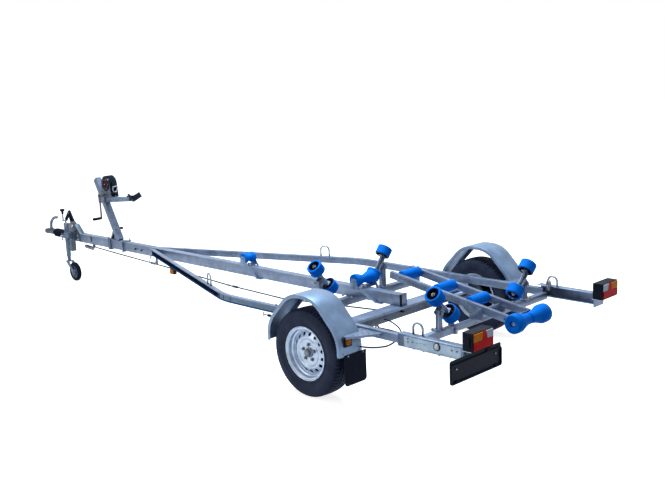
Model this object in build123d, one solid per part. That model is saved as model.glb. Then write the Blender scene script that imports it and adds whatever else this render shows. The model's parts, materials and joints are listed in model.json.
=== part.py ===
from build123d import *
import math
import os

# Boat trailer with a keel beam, splayed side rails, one braked axle and roller cradles.
# Millimetres. +X points forward to the coupling, +Y to the left, +Z up. Places below are
# measured from the ground under the wheel centres; export moves the origin to the middle of
# the length.

# ---- driving sizes -------------------------------------------------------------------
NOSE_X = 5490.0             # front of the coupling
TAIL_X = -1300.0            # back face of the lamps and of the number plate holder
OUTER_Y = 1100.0            # half of the overall width, at the mudguards

RUN_GAP = 0.06              # radial clearance of a pin in its bore
SIDE_GAP = 1.0              # clearance beside a piece that turns on a pin
SEAT = 0.3                  # gap between a moving piece and the piece it rests on

# wheels
TYRE_R = 318.0
TYRE_W = 186.0
WHEEL_X = 15.0
WHEEL_Y = 980.0
RIM_R = 195.0
RIM_SEAT_R = 178.0
RIM_WALL = 5.0
DISC_T = 8.0
WHEEL_HOLES = 15
HOLE_RING_R = 134.0
HOLE_R = 12.5
DRUM_R = 118.0
STUB_R = 20.0
HUB_FACE = 42.0             # hub face outside the wheel's middle plane

# frame members
KEEL_W = 80.0
KEEL_H = 90.0
KEEL_BOTTOM_Z = 432.0
KEEL_REAR_X = 30.0
KEEL_FRONT_X = 4690.0
KEEL_WALL = 5.0
RAIL_W = 40.0
RAIL_H = 60.0
RAIL_BOTTOM_Z = 457.0
RAIL_WALL = 3.0
RAIL_Y = 800.0
RAIL_BEND_X = 1220.0
RAIL_BEND_R = 600.0
RAIL_FRONT_X = 3320.0
RAIL_REAR_X = -720.0

# axle
AXLE_X = 60.0
AXLE_TUBE = 70.0
AXLE_BOTTOM_Z = 345.0
CARRIER_W = 130.0
ARM_T = 30.0

# mudguards
GUARD_T = 2.0
GUARD_W = 220.0
GUARD_LIP = 20.0
GUARD_TOP_Z = 747.0
GUARD_KNEE_Z = 502.0
GUARD_BOTTOM_Z = 365.0
GUARD_HALF_X = 362.0
GUARD_CROWN_X = 128.0
GUARD_BEND_R = 100.0
FLAP_T = 5.0
FLAP_BOTTOM_Z = 156.0

# rollers
ROLLER_R = 62.0
ROLLER_W = 76.0
ROLLER_PITCH = 220.0
ROD_R = 10.0
RUNG_R = 42.0
RUNG_ROD_R = 8.0
BUMPER_R = 68.0
BUMPER_WAIST_R = 40.0
BUMPER_HALF_W = 198.0

# posts and their rocking roller pairs
ROCK_PIN_R = 8.0
ROCK_ARM = 60.0
PLATE_T = 6.0

# tilting ladder
LADDER_RAIL_Y = 115.0
LADDER_RAIL_W = 30.0
LADDER_RAIL_H = 52.0
LADDER_SLOPE = 9.4
LADDER_PIVOT_X = -800.0
LADDER_PIVOT_Z = 553.0
LADDER_FRONT = 852.0
LADDER_REAR = 240.0
LADDER_PIN_R = 8.0

# rear crossmember
REAR_X = -735.0
REAR_TOP_Z = 490.0
REAR_TUBE = 50.0
REAR_INNER_TUBE = 40.0
COLLAR_Y = 355.0

# front crossmember
FRONT_X = 568.0
FRONT_TUBE = 60.0

# winch post
WINCH_TUBE = 60.0
WINCH_BASE_X = 3940.0
WINCH_TOP_X = 4290.0
WINCH_TOP_Z = 1150.0
WINCH_ARM_BACK_X = 3670.0
WINCH_ARM_W = 50.0
WINCH_ARM_REAR_TOP_Z = 1006.0
WINCH_ARM_REAR_LOW_Z = 963.0
WINCH_ARM_FRONT_LOW_Z = 914.0
WINCH_SLOPE = 4.2              # degrees that the arm's top falls toward the post
WINCH_X = 4052.0               # middle of the winch on the arm
DRUM_UP = 138.0                # drum's axis above the arm
DRUM_CORE_R = 88.0
DRUM_CORE_W = 84.0
CRANK_AHEAD = 62.0
CRANK_UP = 22.0
CRANK_Y = 96.0
CRANK_END_Z = 760.0
WINCH_PIN_R = 9.0

# coupling
HOUSING_FRONT_X = 4990.0
SHAFT_R = 25.0
SHAFT_Z = 478.0
BALL_R = 25.0
OVERRUN_TRAVEL = 60.0
BORE_BACK = 60.0               # back of the shaft's bore from the housing's rear face

# jockey wheel
JOCKEY_X = 4861.0
JOCKEY_Y = 100.0
JOCKEY_TUBE_R = 24.0
JOCKEY_LEG_R = 20.0
JOCKEY_WHEEL_R = 103.0
JOCKEY_WHEEL_W = 46.0
JOCKEY_TRAIL = 112.0
JOCKEY_TUBE_BOTTOM_Z = 267.0
JOCKEY_AXLE_R = 8.0

# lamps and plate
LAMP_Y = 772.0
LAMP_W = 208.0
LAMP_D = 75.0
LAMP_BOTTOM_Z = 531.0
LAMP_H = 118.0
ARM_OUTER_Y = 850.0
ARM_TOP_Z = 538.0
ARM_LOW_Z = 453.0
ARM_T2 = 4.0
ARM_LAP = 60.0
LAMP_FACE_X = -1200.0

KEEL_TOP_Z = KEEL_BOTTOM_Z + KEEL_H
KEEL_MID_Z = KEEL_BOTTOM_Z + KEEL_H / 2
RAIL_TOP_Z = RAIL_BOTTOM_Z + RAIL_H
RAIL_MID_Z = RAIL_BOTTOM_Z + RAIL_H / 2
AXLE_TOP_Z = AXLE_BOTTOM_Z + AXLE_TUBE
AXLE_Z = AXLE_BOTTOM_Z + AXLE_TUBE / 2
ORIGIN = Vector((NOSE_X + TAIL_X) / 2, 0, 0)

SIDES = (("left", 1), ("right", -1))


# ---- helpers -------------------------------------------------------------------------
def block(x0, x1, y0, y1, z0, z1):
    """A box between two corners."""
    centre = Pos((x0 + x1) / 2, (y0 + y1) / 2, (z0 + z1) / 2)
    return centre * Box(abs(x1 - x0), abs(y1 - y0), abs(z1 - z0))


def rod(start, end, radius, bore=0.0):
    """A round bar, or a tube with a bore, from start to end."""
    start, end = Vector(*start), Vector(*end)
    plane = Plane(origin=start, z_dir=end - start)
    face = plane * Circle(radius)
    if bore:
        face = face - plane * Circle(bore)
    return extrude(face, amount=(end - start).length)


def beam(start, end, wide, tall, wall=0.0, across=(0, 1, 0)):
    """A straight bar or box tube from start to end; wide lies along across."""
    start, end = Vector(*start), Vector(*end)
    plane = Plane(origin=start, x_dir=Vector(*across), z_dir=end - start)
    face = plane * Rectangle(wide, tall)
    if wall:
        face = face - plane * Rectangle(wide - 2 * wall, tall - 2 * wall)
    return extrude(face, amount=(end - start).length)


def plate(plane, points, thickness):
    """A flat plate: an outline drawn on a plane, thick along the plane's normal."""
    return extrude(plane * Polygon(*points, align=None), amount=thickness, dir=plane.z_dir)


def offset_path(points, distance):
    """The same open path shifted sideways, with mitred corners."""
    normals = []
    for (ax, ay), (bx, by) in zip(points, points[1:]):
        length = math.hypot(bx - ax, by - ay)
        normals.append(((ay - by) / length, (bx - ax) / length))
    moved = []
    for index, (x, y) in enumerate(points):
        before = normals[max(index - 1, 0)]
        after = normals[min(index, len(normals) - 1)]
        nx, ny = before[0] + after[0], before[1] + after[1]
        scale = 2 * distance / (nx * nx + ny * ny)
        moved.append((x + nx * scale, y + ny * scale))
    return moved


def band(points, inner, outer):
    """The outline between two sideways shifts of a path."""
    return offset_path(points, outer) + offset_path(points, inner)[::-1]


def bent_rod(points, radius, bend):
    """A round bar bent at each inner point of its route."""
    path = FilletPolyline(*points, radius=bend)
    start = Plane(origin=path @ 0, z_dir=path % 0)
    return sweep(start * Circle(radius), path=path)


def turned(profile, axis_plane):
    """A ring turned from (radius, along) points about a plane's normal."""
    flat = Plane(origin=axis_plane.origin, x_dir=axis_plane.x_dir, z_dir=-axis_plane.y_dir)
    return revolve(flat * Polygon(*profile, align=None), Axis(axis_plane.origin, axis_plane.z_dir))


def one(*solids):
    """Pieces fused into one shape."""
    joined = solids[0]
    for solid in solids[1:]:
        joined = joined + solid
    return joined


def save(name, *shapes):
    """Writes one node from shapes that don't touch each other."""
    solids = [solid for shape in shapes for solid in shape.solids()]
    whole = Compound(children=solids) if len(solids) > 1 else solids[0]
    export_step(whole.moved(Location(-ORIGIN)), f"parts/{name}.step")


# ---- frame ---------------------------------------------------------------------------
def keel_beam():
    """The box beam along the middle, from the axle to the coupling, with its end plate."""
    low = (KEEL_REAR_X, 0, KEEL_MID_Z)
    high = (KEEL_FRONT_X, 0, KEEL_MID_Z)
    end_plate = block(KEEL_REAR_X - PLATE_T, KEEL_REAR_X, -KEEL_W / 2 - 6, KEEL_W / 2 + 6,
                      KEEL_BOTTOM_Z, KEEL_TOP_Z + 6)
    nose_plate = block(KEEL_FRONT_X - PLATE_T, KEEL_FRONT_X, -KEEL_W / 2, KEEL_W / 2,
                       KEEL_BOTTOM_Z, KEEL_TOP_Z)
    return one(beam(low, high, KEEL_W, KEEL_H, KEEL_WALL), end_plate, nose_plate)


def side_rail(side):
    """A box rail that leaves the keel beam at an angle and runs back beside the wheel."""
    slope = (RAIL_Y - KEEL_W / 2) / (RAIL_FRONT_X - RAIL_BEND_X)
    inside_y = KEEL_W / 2 - RAIL_W
    start_x = RAIL_BEND_X + (RAIL_Y - inside_y) / slope
    points = [(start_x, side * inside_y, RAIL_MID_Z), (RAIL_BEND_X, side * RAIL_Y, RAIL_MID_Z),
              (RAIL_REAR_X, side * RAIL_Y, RAIL_MID_Z)]
    route = FilletPolyline(*points, radius=RAIL_BEND_R)
    start = Plane(origin=route @ 0, x_dir=(0, 0, 1), z_dir=route % 0)
    section = Rectangle(RAIL_H, RAIL_W) - Rectangle(RAIL_H - 2 * RAIL_WALL, RAIL_W - 2 * RAIL_WALL)
    tube = sweep(start * section, path=route)
    keel_side = block(RAIL_BEND_X, start_x + RAIL_H, -KEEL_W / 2, KEEL_W / 2,
                      RAIL_BOTTOM_Z - RAIL_H, RAIL_TOP_Z + RAIL_H)
    other = block(RAIL_BEND_X, start_x + RAIL_H, 0, -side * RAIL_Y,
                  RAIL_BOTTOM_Z - RAIL_H, RAIL_TOP_Z + RAIL_H)
    return tube - keel_side - other


def front_crossmember():
    """A box tube below the keel beam with a packing plate under each side rail."""
    z = KEEL_BOTTOM_Z - FRONT_TUBE / 2
    end_y = RAIL_Y + RAIL_W / 2 - 4
    tube = beam((FRONT_X, -end_y, z), (FRONT_X, end_y, z), FRONT_TUBE, FRONT_TUBE, 4, (1, 0, 0))
    pads = []
    for _, side in SIDES:
        pads.append(block(FRONT_X - 35, FRONT_X + 35, side * (RAIL_Y - 18), side * (RAIL_Y + 18),
                          KEEL_BOTTOM_Z, RAIL_BOTTOM_Z))
    return one(tube, *pads)


def rear_crossmember():
    """Two stubs welded to the rails, a smaller tube that telescopes in them, and collars."""
    z = REAR_TOP_Z - REAR_TUBE / 2
    rail_face = RAIL_Y - RAIL_W / 2
    inner = beam((REAR_X, -COLLAR_Y, z), (REAR_X, COLLAR_Y, z), REAR_INNER_TUBE, REAR_INNER_TUBE,
                 4, (1, 0, 0))
    pieces = [inner]
    for _, side in SIDES:
        pieces.append(beam((REAR_X, side * COLLAR_Y, z), (REAR_X, side * rail_face, z),
                           REAR_TUBE, REAR_TUBE, 4, (1, 0, 0)))
        pieces.append(beam((REAR_X, side * (COLLAR_Y - 8), z), (REAR_X, side * (COLLAR_Y + 16), z),
                           REAR_TUBE + 16, REAR_TUBE + 16,
                           (REAR_TUBE + 16 - REAR_INNER_TUBE) / 2, (1, 0, 0)))
    return one(*pieces, *ladder_lugs())


def ladder_lugs():
    """Two ears that carry the ladder's pivot pin, on a saddle over the rear crossmember."""
    ear_y = LADDER_RAIL_Y + LADDER_RAIL_W / 2 + SIDE_GAP
    saddle_top = REAR_TOP_Z + PLATE_T
    pieces = [block(REAR_X - 90, REAR_X + 30, -ear_y - PLATE_T, ear_y + PLATE_T,
                    REAR_TOP_Z - 5, saddle_top)]
    outline = [(REAR_X - 90, REAR_TOP_Z - 5), (REAR_X + 30, REAR_TOP_Z - 5),
               (REAR_X + 30, REAR_TOP_Z + 14), (LADDER_PIVOT_X + 20, LADDER_PIVOT_Z + 20),
               (LADDER_PIVOT_X - 20, LADDER_PIVOT_Z + 20), (REAR_X - 90, REAR_TOP_Z + 30)]
    for _, side in SIDES:
        inner = ear_y if side > 0 else -ear_y - PLATE_T
        plane = Plane(origin=(0, inner + PLATE_T, 0), x_dir=(1, 0, 0), z_dir=(0, -1, 0))
        pieces.append(plate(plane, outline, PLATE_T))
    pin_y = ear_y + PLATE_T + 8
    pieces.append(rod((LADDER_PIVOT_X, -pin_y, LADDER_PIVOT_Z), (LADDER_PIVOT_X, pin_y, LADDER_PIVOT_Z),
                      LADDER_PIN_R))
    return pieces


# ---- axle ----------------------------------------------------------------------------
def axle():
    """The box axle tube, its trailing arms, brake back plates and stub shafts."""
    tube_end = RAIL_Y + RAIL_W / 2 + 8
    tube = beam((AXLE_X, -tube_end, AXLE_Z), (AXLE_X, tube_end, AXLE_Z), AXLE_TUBE, AXLE_TUBE, 5,
                (1, 0, 0))
    pieces = [tube]
    back_y = WHEEL_Y - TYRE_W / 2 + 4
    for _, side in SIDES:
        arm = beam((AXLE_X + 20, side * (tube_end + ARM_T / 2), AXLE_Z),
                   (WHEEL_X - 30, side * (tube_end + ARM_T / 2), TYRE_R - 22), ARM_T, 64, 0, (0, 1, 0))
        back = rod((WHEEL_X, side * (tube_end + ARM_T), TYRE_R), (WHEEL_X, side * back_y, TYRE_R), DRUM_R - 4)
        stub = rod((WHEEL_X, side * back_y, TYRE_R), (WHEEL_X, side * (WHEEL_Y + 36), TYRE_R), STUB_R)
        pieces += [arm, back, stub]
    return one(*pieces)


def axle_carrier():
    """A channel over the axle tube that carries the keel beam's end and the side rails."""
    end_y = RAIL_Y + RAIL_W / 2
    top = block(AXLE_X - CARRIER_W / 2, AXLE_X + CARRIER_W / 2, -end_y, end_y,
                AXLE_TOP_Z, KEEL_BOTTOM_Z)
    pads = []
    for _, side in SIDES:
        pads.append(block(AXLE_X - CARRIER_W / 2, AXLE_X + CARRIER_W / 2, side * (RAIL_Y - 20),
                          side * (RAIL_Y + 20), KEEL_BOTTOM_Z, RAIL_BOTTOM_Z))
    return one(top, *pads)


def tyre(side):
    """A road tyre with a flat tread, rounded shoulders and bulged walls."""
    half = TYRE_W / 2
    profile = [(RIM_SEAT_R + 1, -half + 16), (RIM_R + 2, -half + 15), (RIM_R + 6, -half + 4), (RIM_R + 60, -half),
               (TYRE_R - 28, -half + 3), (TYRE_R - 6, -half + 18), (TYRE_R, -half + 36),
               (TYRE_R, half - 36), (TYRE_R - 6, half - 18), (TYRE_R - 28, half - 3),
               (RIM_R + 60, half), (RIM_R + 6, half - 4), (RIM_R + 2, half - 15), (RIM_SEAT_R + 1, half - 16)]
    return turned(profile, wheel_plane(side))


def wheel_plane(side):
    """The wheel's middle plane, its normal pointing away from the trailer."""
    return Plane(origin=(WHEEL_X, side * WHEEL_Y, TYRE_R), x_dir=(1, 0, 0), z_dir=(0, side, 0))


def wheel(side):
    """A pressed steel wheel with round vent holes, its brake drum and grease cap."""
    half = TYRE_W / 2
    plane = wheel_plane(side)
    outline = [(RIM_SEAT_R - RIM_WALL, -half + 12), (RIM_R, -half + 6), (RIM_R, -half + 12),
               (RIM_SEAT_R + 1, -half + 13), (RIM_SEAT_R, -half + 16), (RIM_SEAT_R, half - 16),
               (RIM_SEAT_R + 1, half - 13), (RIM_R, half - 12),
               (RIM_R, half - 6), (RIM_SEAT_R - RIM_WALL, half - 12),
               (RIM_SEAT_R - RIM_WALL, 30 + DISC_T), (118, 52 + DISC_T), (70, HUB_FACE + 10),
               (62, HUB_FACE), (STUB_R + RUN_GAP, HUB_FACE), (STUB_R + RUN_GAP, -34),
               (DRUM_R, -34), (DRUM_R, 28), (90, 34), (76, 36), (112, 50), (118, 52),
               (RIM_SEAT_R - RIM_WALL, 30)]
    body = turned(outline, plane)
    for index in range(WHEEL_HOLES):
        angle = 360 * index / WHEEL_HOLES
        spot = plane * Rot(0, 0, angle) * Pos(HOLE_RING_R, 0, 20)
        body = body - spot * extrude(Circle(HOLE_R), amount=50)
    cap = turned([(0, HUB_FACE), (STUB_R + 12, HUB_FACE), (STUB_R + 12, HUB_FACE + 24),
                  (STUB_R + 6, HUB_FACE + 32), (0, HUB_FACE + 34)], plane)
    return body + cap


# ---- mudguards -----------------------------------------------------------------------
def guard_side(inset, low):
    """The mudguard's side view drawn in by an inset, closed along a lower edge."""
    half = [(GUARD_HALF_X, low), (GUARD_HALF_X, GUARD_KNEE_Z), (GUARD_CROWN_X, GUARD_TOP_Z)]
    points = offset_path(half + [(-x, z) for x, z in half[::-1]], inset)
    return make_face(FilletPolyline(*points, radius=GUARD_BEND_R - inset) + Line(points[-1], points[0]))


def mudguard(side):
    """A folded sheet over the wheel with a lip along both edges and a rear skirt."""
    inner = OUTER_Y - GUARD_W
    start = side * OUTER_Y if side > 0 else -inner
    plane = Plane(origin=(0, start, 0), x_dir=(1, 0, 0), z_dir=(0, -1, 0))
    whole = extrude(plane * guard_side(0, GUARD_BOTTOM_Z), amount=GUARD_W)
    hollow = extrude(plane.offset(GUARD_T) * guard_side(GUARD_T, 0), amount=GUARD_W - 2 * GUARD_T)
    mouth = extrude(plane.offset(-5) * guard_side(GUARD_LIP, 0), amount=GUARD_W + 10)
    skirt = block(-GUARD_HALF_X, -GUARD_HALF_X + GUARD_T, side * (inner - 32), side * inner,
                  350, 490)
    return whole - hollow - mouth + skirt


def guard_brackets():
    """Plates that hold each mudguard's inner edge to its rail, ahead of and behind the wheel."""
    solids = []
    z = RAIL_TOP_Z - 24
    for _, side in SIDES:
        rail_face = side * (RAIL_Y + RAIL_W / 2)
        guard_face = side * (OUTER_Y - GUARD_W)
        rear = [(-GUARD_HALF_X + 60, guard_face), (-GUARD_HALF_X + GUARD_T, guard_face),
                (-GUARD_HALF_X + 8, rail_face), (-GUARD_HALF_X + 150, rail_face)]
        front = [(-x, y) for x, y in rear]
        for outline in (rear, front):
            solids.append(plate(Plane.XY.offset(z), outline, 4))
    return solids


def mudflaps():
    """Flexible flaps hung behind the wheels."""
    solids = []
    for _, side in SIDES:
        inner, outer = OUTER_Y - GUARD_W - 32, OUTER_Y - 42
        flap = block(-GUARD_HALF_X - FLAP_T, -GUARD_HALF_X, side * inner, side * outer,
                     FLAP_BOTTOM_Z, 372)
        solids.append(flap)
    return solids


# ---- posts, rocking pairs and their rollers ------------------------------------------
# name, post width, post x, post y, pin height, tilt of the roller rod, foot height
PAIRS = (
    ("front", 42.0, FRONT_X, 368.0, 603.0, 50.0, KEEL_BOTTOM_Z),
    ("rear", 34.0, REAR_X, 508.0, 612.0, 44.0, REAR_TOP_Z),
)


def posts(width, x, y, pin_z, foot_z):
    """Left and right upright box posts with their foot plates and rocking pins."""
    solids = []
    top = pin_z + 20
    reach = width / 2 + SIDE_GAP + PLATE_T
    for _, side in SIDES:
        tube = beam((x, side * y, foot_z), (x, side * y, top), width, width, 3, (1, 0, 0))
        lid = block(x - width / 2, x + width / 2, side * y - width / 2, side * y + width / 2, top - 3, top)
        foot = block(x - 45, x + 45, side * y - 42, side * y + 42, foot_z, foot_z + PLATE_T)
        pin = rod((x - reach - 1, side * y, pin_z), (x + reach + 1, side * y, pin_z), ROCK_PIN_R)
        heads = []
        for end in (-1, 1):
            heads.append(rod((x + end * (reach + 1), side * y, pin_z),
                             (x + end * (reach + 9), side * y, pin_z), ROCK_PIN_R + 6))
        solids.append(one(tube, lid, foot, pin, *heads))
    return solids


def rod_plane(x, y, pin_z, tilt, side):
    """Middle of a roller rod: x_dir forward, z_dir up and outward along the rod."""
    lean = math.radians(tilt)
    up = Vector(0, -side * math.sin(lean), math.cos(lean))
    along = Vector(0, side * math.cos(lean), math.sin(lean))
    origin = Vector(x, side * y, pin_z) + up * ROCK_ARM
    return Plane(origin=origin, x_dir=(1, 0, 0), z_dir=along)


def rocker(width, x, y, pin_z, tilt, side):
    """The bracket that rocks on a post and holds the rod of two rollers."""
    frame = rod_plane(x, y, pin_z, tilt, side)
    toward_pin = frame.y_dir if frame.y_dir.dot(Vector(x, side * y, pin_z) - frame.origin) > 0 else -frame.y_dir
    sign = 1 if toward_pin == frame.y_dir else -1
    half = ROLLER_PITCH / 2
    ear_in = width / 2 + SIDE_GAP
    leg = ROLLER_PITCH / 2 - ROLLER_W / 2 - SIDE_GAP - PLATE_T
    rod_reach = half + ROLLER_W / 2 - 14

    def local(x0, x1, d0, d1, a0, a1):
        return frame * block(x0, x1, sign * d0, sign * d1, a0, a1)

    base = local(-ear_in - PLATE_T, ear_in + PLATE_T, 17, 17 + PLATE_T, -leg - PLATE_T, leg + PLATE_T)
    bar = frame * Pos(0, 0, -rod_reach) * extrude(Circle(ROD_R), amount=2 * rod_reach)
    pieces = [base, bar]
    for end in (-1, 1):
        pieces.append(local(-24, 24, -20, 17 + PLATE_T, end * leg, end * (leg + PLATE_T)))
        ear = local(end * ear_in, end * (ear_in + PLATE_T), 17, ROCK_ARM + 18, -22, 22)
        pieces.append(ear)
        nut_z = end * (rod_reach - 10)
        pieces.append(frame * Pos(0, 0, min(nut_z, nut_z + end * 10)) * extrude(Circle(ROD_R + 7), amount=10))
    body = one(*pieces)
    reach = ear_in + PLATE_T + 2
    bore = rod((x - reach, side * y, pin_z), (x + reach, side * y, pin_z), ROCK_PIN_R + RUN_GAP)
    return body - bore


def wobble_roller(x, y, pin_z, tilt, side, place):
    """A moulded roller with hollow hubs; place is 1 for the outer, -1 for the inner."""
    frame = rod_plane(x, y, pin_z, tilt, side)
    mid = place * ROLLER_PITCH / 2
    half = ROLLER_W / 2
    bore = ROD_R + RUN_GAP
    profile = [(bore, -half + 28), (34, -half + 28), (38, -half), (ROLLER_R - 8, -half), (ROLLER_R, -half + 8),
               (ROLLER_R, half - 8), (ROLLER_R - 8, half), (38, half), (34, half - 28), (bore, half - 28)]
    seat = Plane(origin=frame.origin + frame.z_dir * mid, x_dir=frame.x_dir, z_dir=frame.z_dir * place)
    return turned(profile, seat)


# ---- keel rollers --------------------------------------------------------------------
# name, x, axle height, half width, radius, waist radius, distance back to the struts' feet
KEEL_ROLLERS = (
    ("front_keel_roller", 1858.0, 590.0, 60.0, 48.0, 30.0, 163.0),
    ("saddle_roller", 442.0, 588.0, 105.0, 55.0, 34.0, 179.0),
)


def keel_roller(x, z, half, radius, waist):
    """A waisted roller across the trailer's middle line."""
    plane = Plane(origin=(x, 0, z), x_dir=(1, 0, 0), z_dir=(0, 1, 0))
    bore = RUNG_ROD_R + RUN_GAP
    shoulder = half * 0.76
    profile = [(bore, -half), (radius - 4, -half), (radius, -half + 5), (radius, -shoulder), (waist, -12),
               (waist, 12), (radius, shoulder), (radius, half - 5), (radius - 4, half), (bore, half)]
    return turned(profile, plane)


def keel_roller_brackets():
    """For each keel roller a folded bracket on the beam, its axle, and struts to a clamp plate below."""
    solids = []
    side_y = KEEL_W / 2 + SIDE_GAP
    for _, x, z, half, _, _, back in KEEL_ROLLERS:
        inner = half + SIDE_GAP
        pieces = [block(x - 45, x + 45, -inner - 4, inner + 4, KEEL_TOP_Z, KEEL_TOP_Z + 5),
                  block(x - back - 55, x - back + 18, -side_y - 12, side_y + 12,
                        KEEL_BOTTOM_Z - 8, KEEL_BOTTOM_Z)]
        outline = [(x - 45, KEEL_TOP_Z), (x + 45, KEEL_TOP_Z), (x + 26, z + 18), (x - 26, z + 18)]
        for _, side in SIDES:
            start = inner if side > 0 else -inner - 5
            plane = Plane(origin=(0, start + 5, 0), x_dir=(1, 0, 0), z_dir=(0, -1, 0))
            pieces.append(plate(plane, outline, 5))
            pieces.append(beam((x - 34, side * (inner + 2), KEEL_TOP_Z + 20),
                               (x - back, side * (side_y + 4), KEEL_BOTTOM_Z - 4), 5, 22))
        pieces.append(rod((x, -inner - 16, z), (x, inner + 16, z), RUNG_ROD_R))
        solids.append(one(*pieces))
    return solids


# ---- ladder --------------------------------------------------------------------------
# name, distance ahead of the ladder's pivot
RUNGS = (
    ("ladder_roller_front", 762.0),
    ("ladder_roller_middle", 424.0),
    ("ladder_roller_rear", 122.0),
)
RUNG_DROP = 20.0
PIVOT_DROP = 34.0
BUMPER_BACK = 312.0
BUMPER_DROP = 16.0


def ladder_plane():
    """The ladder's own frame: x forward along its rails, z up, origin on top above its pivot."""
    slope = math.radians(LADDER_SLOPE)
    up = Vector(-math.sin(slope), 0, math.cos(slope))
    along = Vector(math.cos(slope), 0, math.sin(slope))
    origin = Vector(LADDER_PIVOT_X, 0, LADDER_PIVOT_Z) + up * PIVOT_DROP
    return Plane(origin=origin, x_dir=along, z_dir=up)


def across_plane(frame, along, drop):
    """A plane facing left at a place on the ladder, for pins and rollers."""
    origin = frame.origin + frame.x_dir * along - frame.z_dir * drop
    return Plane(origin=origin, x_dir=frame.x_dir, z_dir=(0, 1, 0))


def cross_bar(plane, half, radius):
    """A round bar through a plane's origin along its normal."""
    return plane * Pos(0, 0, -half) * extrude(Circle(radius), amount=2 * half)


def ladder():
    """Two box rails with rung axles, a rear plate and the bumper roller's rod."""
    frame = ladder_plane()
    inner = LADDER_RAIL_Y - LADDER_RAIL_W / 2
    outer = LADDER_RAIL_Y + LADDER_RAIL_W / 2
    pieces = []
    for _, side in SIDES:
        rail = frame * block(-LADDER_REAR, LADDER_FRONT, side * inner, side * outer, -LADDER_RAIL_H, 0)
        core = frame * block(-LADDER_REAR - 1, LADDER_FRONT + 1, side * (inner + 3), side * (outer - 3),
                             -LADDER_RAIL_H + 3, -3)
        boss = cross_bar(across_plane(frame, 0, PIVOT_DROP), outer, LADDER_PIN_R + 6)
        side_box = frame * block(-30, 30, side * inner, side * outer, -LADDER_RAIL_H, 0)
        pieces.append((rail - core) + (boss & side_box))
    pieces.append(frame * block(-LADDER_REAR, -LADDER_REAR + PLATE_T, -inner, inner, -LADDER_RAIL_H, -4))
    pieces.append(frame * block(300, 340, -inner, inner, -LADDER_RAIL_H, -LADDER_RAIL_H + PLATE_T))
    for _, along in RUNGS:
        pieces.append(cross_bar(across_plane(frame, along, RUNG_DROP), outer + 7, RUNG_ROD_R))
    bumper = across_plane(frame, -BUMPER_BACK, BUMPER_DROP)
    pieces.append(cross_bar(bumper, BUMPER_HALF_W - 14, RUNG_ROD_R))
    lug = frame * block(-BUMPER_BACK, -LADDER_REAR + 2, -4, 4, -BUMPER_DROP - 18, -BUMPER_DROP + 12)
    pieces += [lug, cross_bar(bumper, 4, 20)]
    for end in (-1, 1):
        spot = end * (BUMPER_HALF_W - 24)
        pieces.append(bumper * Pos(0, 0, min(spot, spot + end * 10)) * extrude(Circle(15), amount=10))
    body = one(*pieces)
    return body - cross_bar(across_plane(frame, 0, PIVOT_DROP), outer + 1, LADDER_PIN_R + RUN_GAP)


def rung_roller(along):
    """A plain moulded roller between the ladder's rails."""
    half = LADDER_RAIL_Y - LADDER_RAIL_W / 2 - SIDE_GAP
    bore = RUNG_ROD_R + RUN_GAP
    profile = [(bore, -half), (RUNG_R - 5, -half), (RUNG_R, -half + 5), (RUNG_R, half - 5),
               (RUNG_R - 5, half), (bore, half)]
    return turned(profile, across_plane(ladder_plane(), along, RUNG_DROP))


def bumper_rollers():
    """Two flared halves of the waisted rear roller, either side of the ladder's lug."""
    plane = across_plane(ladder_plane(), -BUMPER_BACK, BUMPER_DROP)
    bore = RUNG_ROD_R + RUN_GAP
    wide = BUMPER_HALF_W
    profile = [(bore, 5), (BUMPER_WAIST_R, 5), (BUMPER_WAIST_R + 3, 40), (BUMPER_R - 18, 100),
               (BUMPER_R - 3, 132), (BUMPER_R, 146), (BUMPER_R, wide - 22), (BUMPER_R - 5, wide - 8),
               (BUMPER_R - 16, wide), (26, wide), (22, wide - 28), (bore, wide - 28)]
    far = Plane(origin=plane.origin, x_dir=plane.x_dir, z_dir=-plane.z_dir)
    return [turned(profile, plane), turned(profile, far)]


# ---- rear light arms, lamps and plate ------------------------------------------------
def light_arms():
    """Channels clamped around the rails' rear ends that reach back to the lamps."""
    solids = []
    front, back = RAIL_REAR_X + ARM_LAP, LAMP_FACE_X
    for _, side in SIDES:
        inner, outer = side * (RAIL_Y - 12), side * ARM_OUTER_Y
        web = block(back, front, outer - side * ARM_T2, outer, ARM_LOW_Z, ARM_TOP_Z)
        top = block(back, front, inner, outer, ARM_TOP_Z - ARM_T2, ARM_TOP_Z)
        low = block(back, front, inner, outer, ARM_LOW_Z, RAIL_BOTTOM_Z - SEAT)
        bracket = block(back, back + 6, side * (LAMP_Y - 60), outer, ARM_LOW_Z, LAMP_BOTTOM_Z + LAMP_H - 10)
        solids.append(one(web, top, low, bracket))
    return solids


def lamp_housings():
    """The tail lamps with their lenses."""
    solids = []
    for _, side in SIDES:
        y = side * LAMP_Y
        shell = block(LAMP_FACE_X - LAMP_D, LAMP_FACE_X, y - LAMP_W / 2, y + LAMP_W / 2, LAMP_BOTTOM_Z,
                      LAMP_BOTTOM_Z + LAMP_H)
        lens = block(LAMP_FACE_X - LAMP_D - 12, LAMP_FACE_X - LAMP_D, y - LAMP_W / 2 + 6, y + LAMP_W / 2 - 6,
                     LAMP_BOTTOM_Z + 6, LAMP_BOTTOM_Z + LAMP_H - 6)
        solids.append(one(shell, lens))
    return solids


def plate_holder():
    """The number plate's holder below the left lamp."""
    back = block(TAIL_X + 10, TAIL_X + 14, 582, OUTER_Y, 380, LAMP_BOTTOM_Z)
    rim = block(TAIL_X, TAIL_X + 10, 582, OUTER_Y, 380, 505)
    hanger = block(TAIL_X + 14, LAMP_FACE_X, 740, 800, LAMP_BOTTOM_Z - 10, LAMP_BOTTOM_Z)
    return one(back, rim, hanger)


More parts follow.
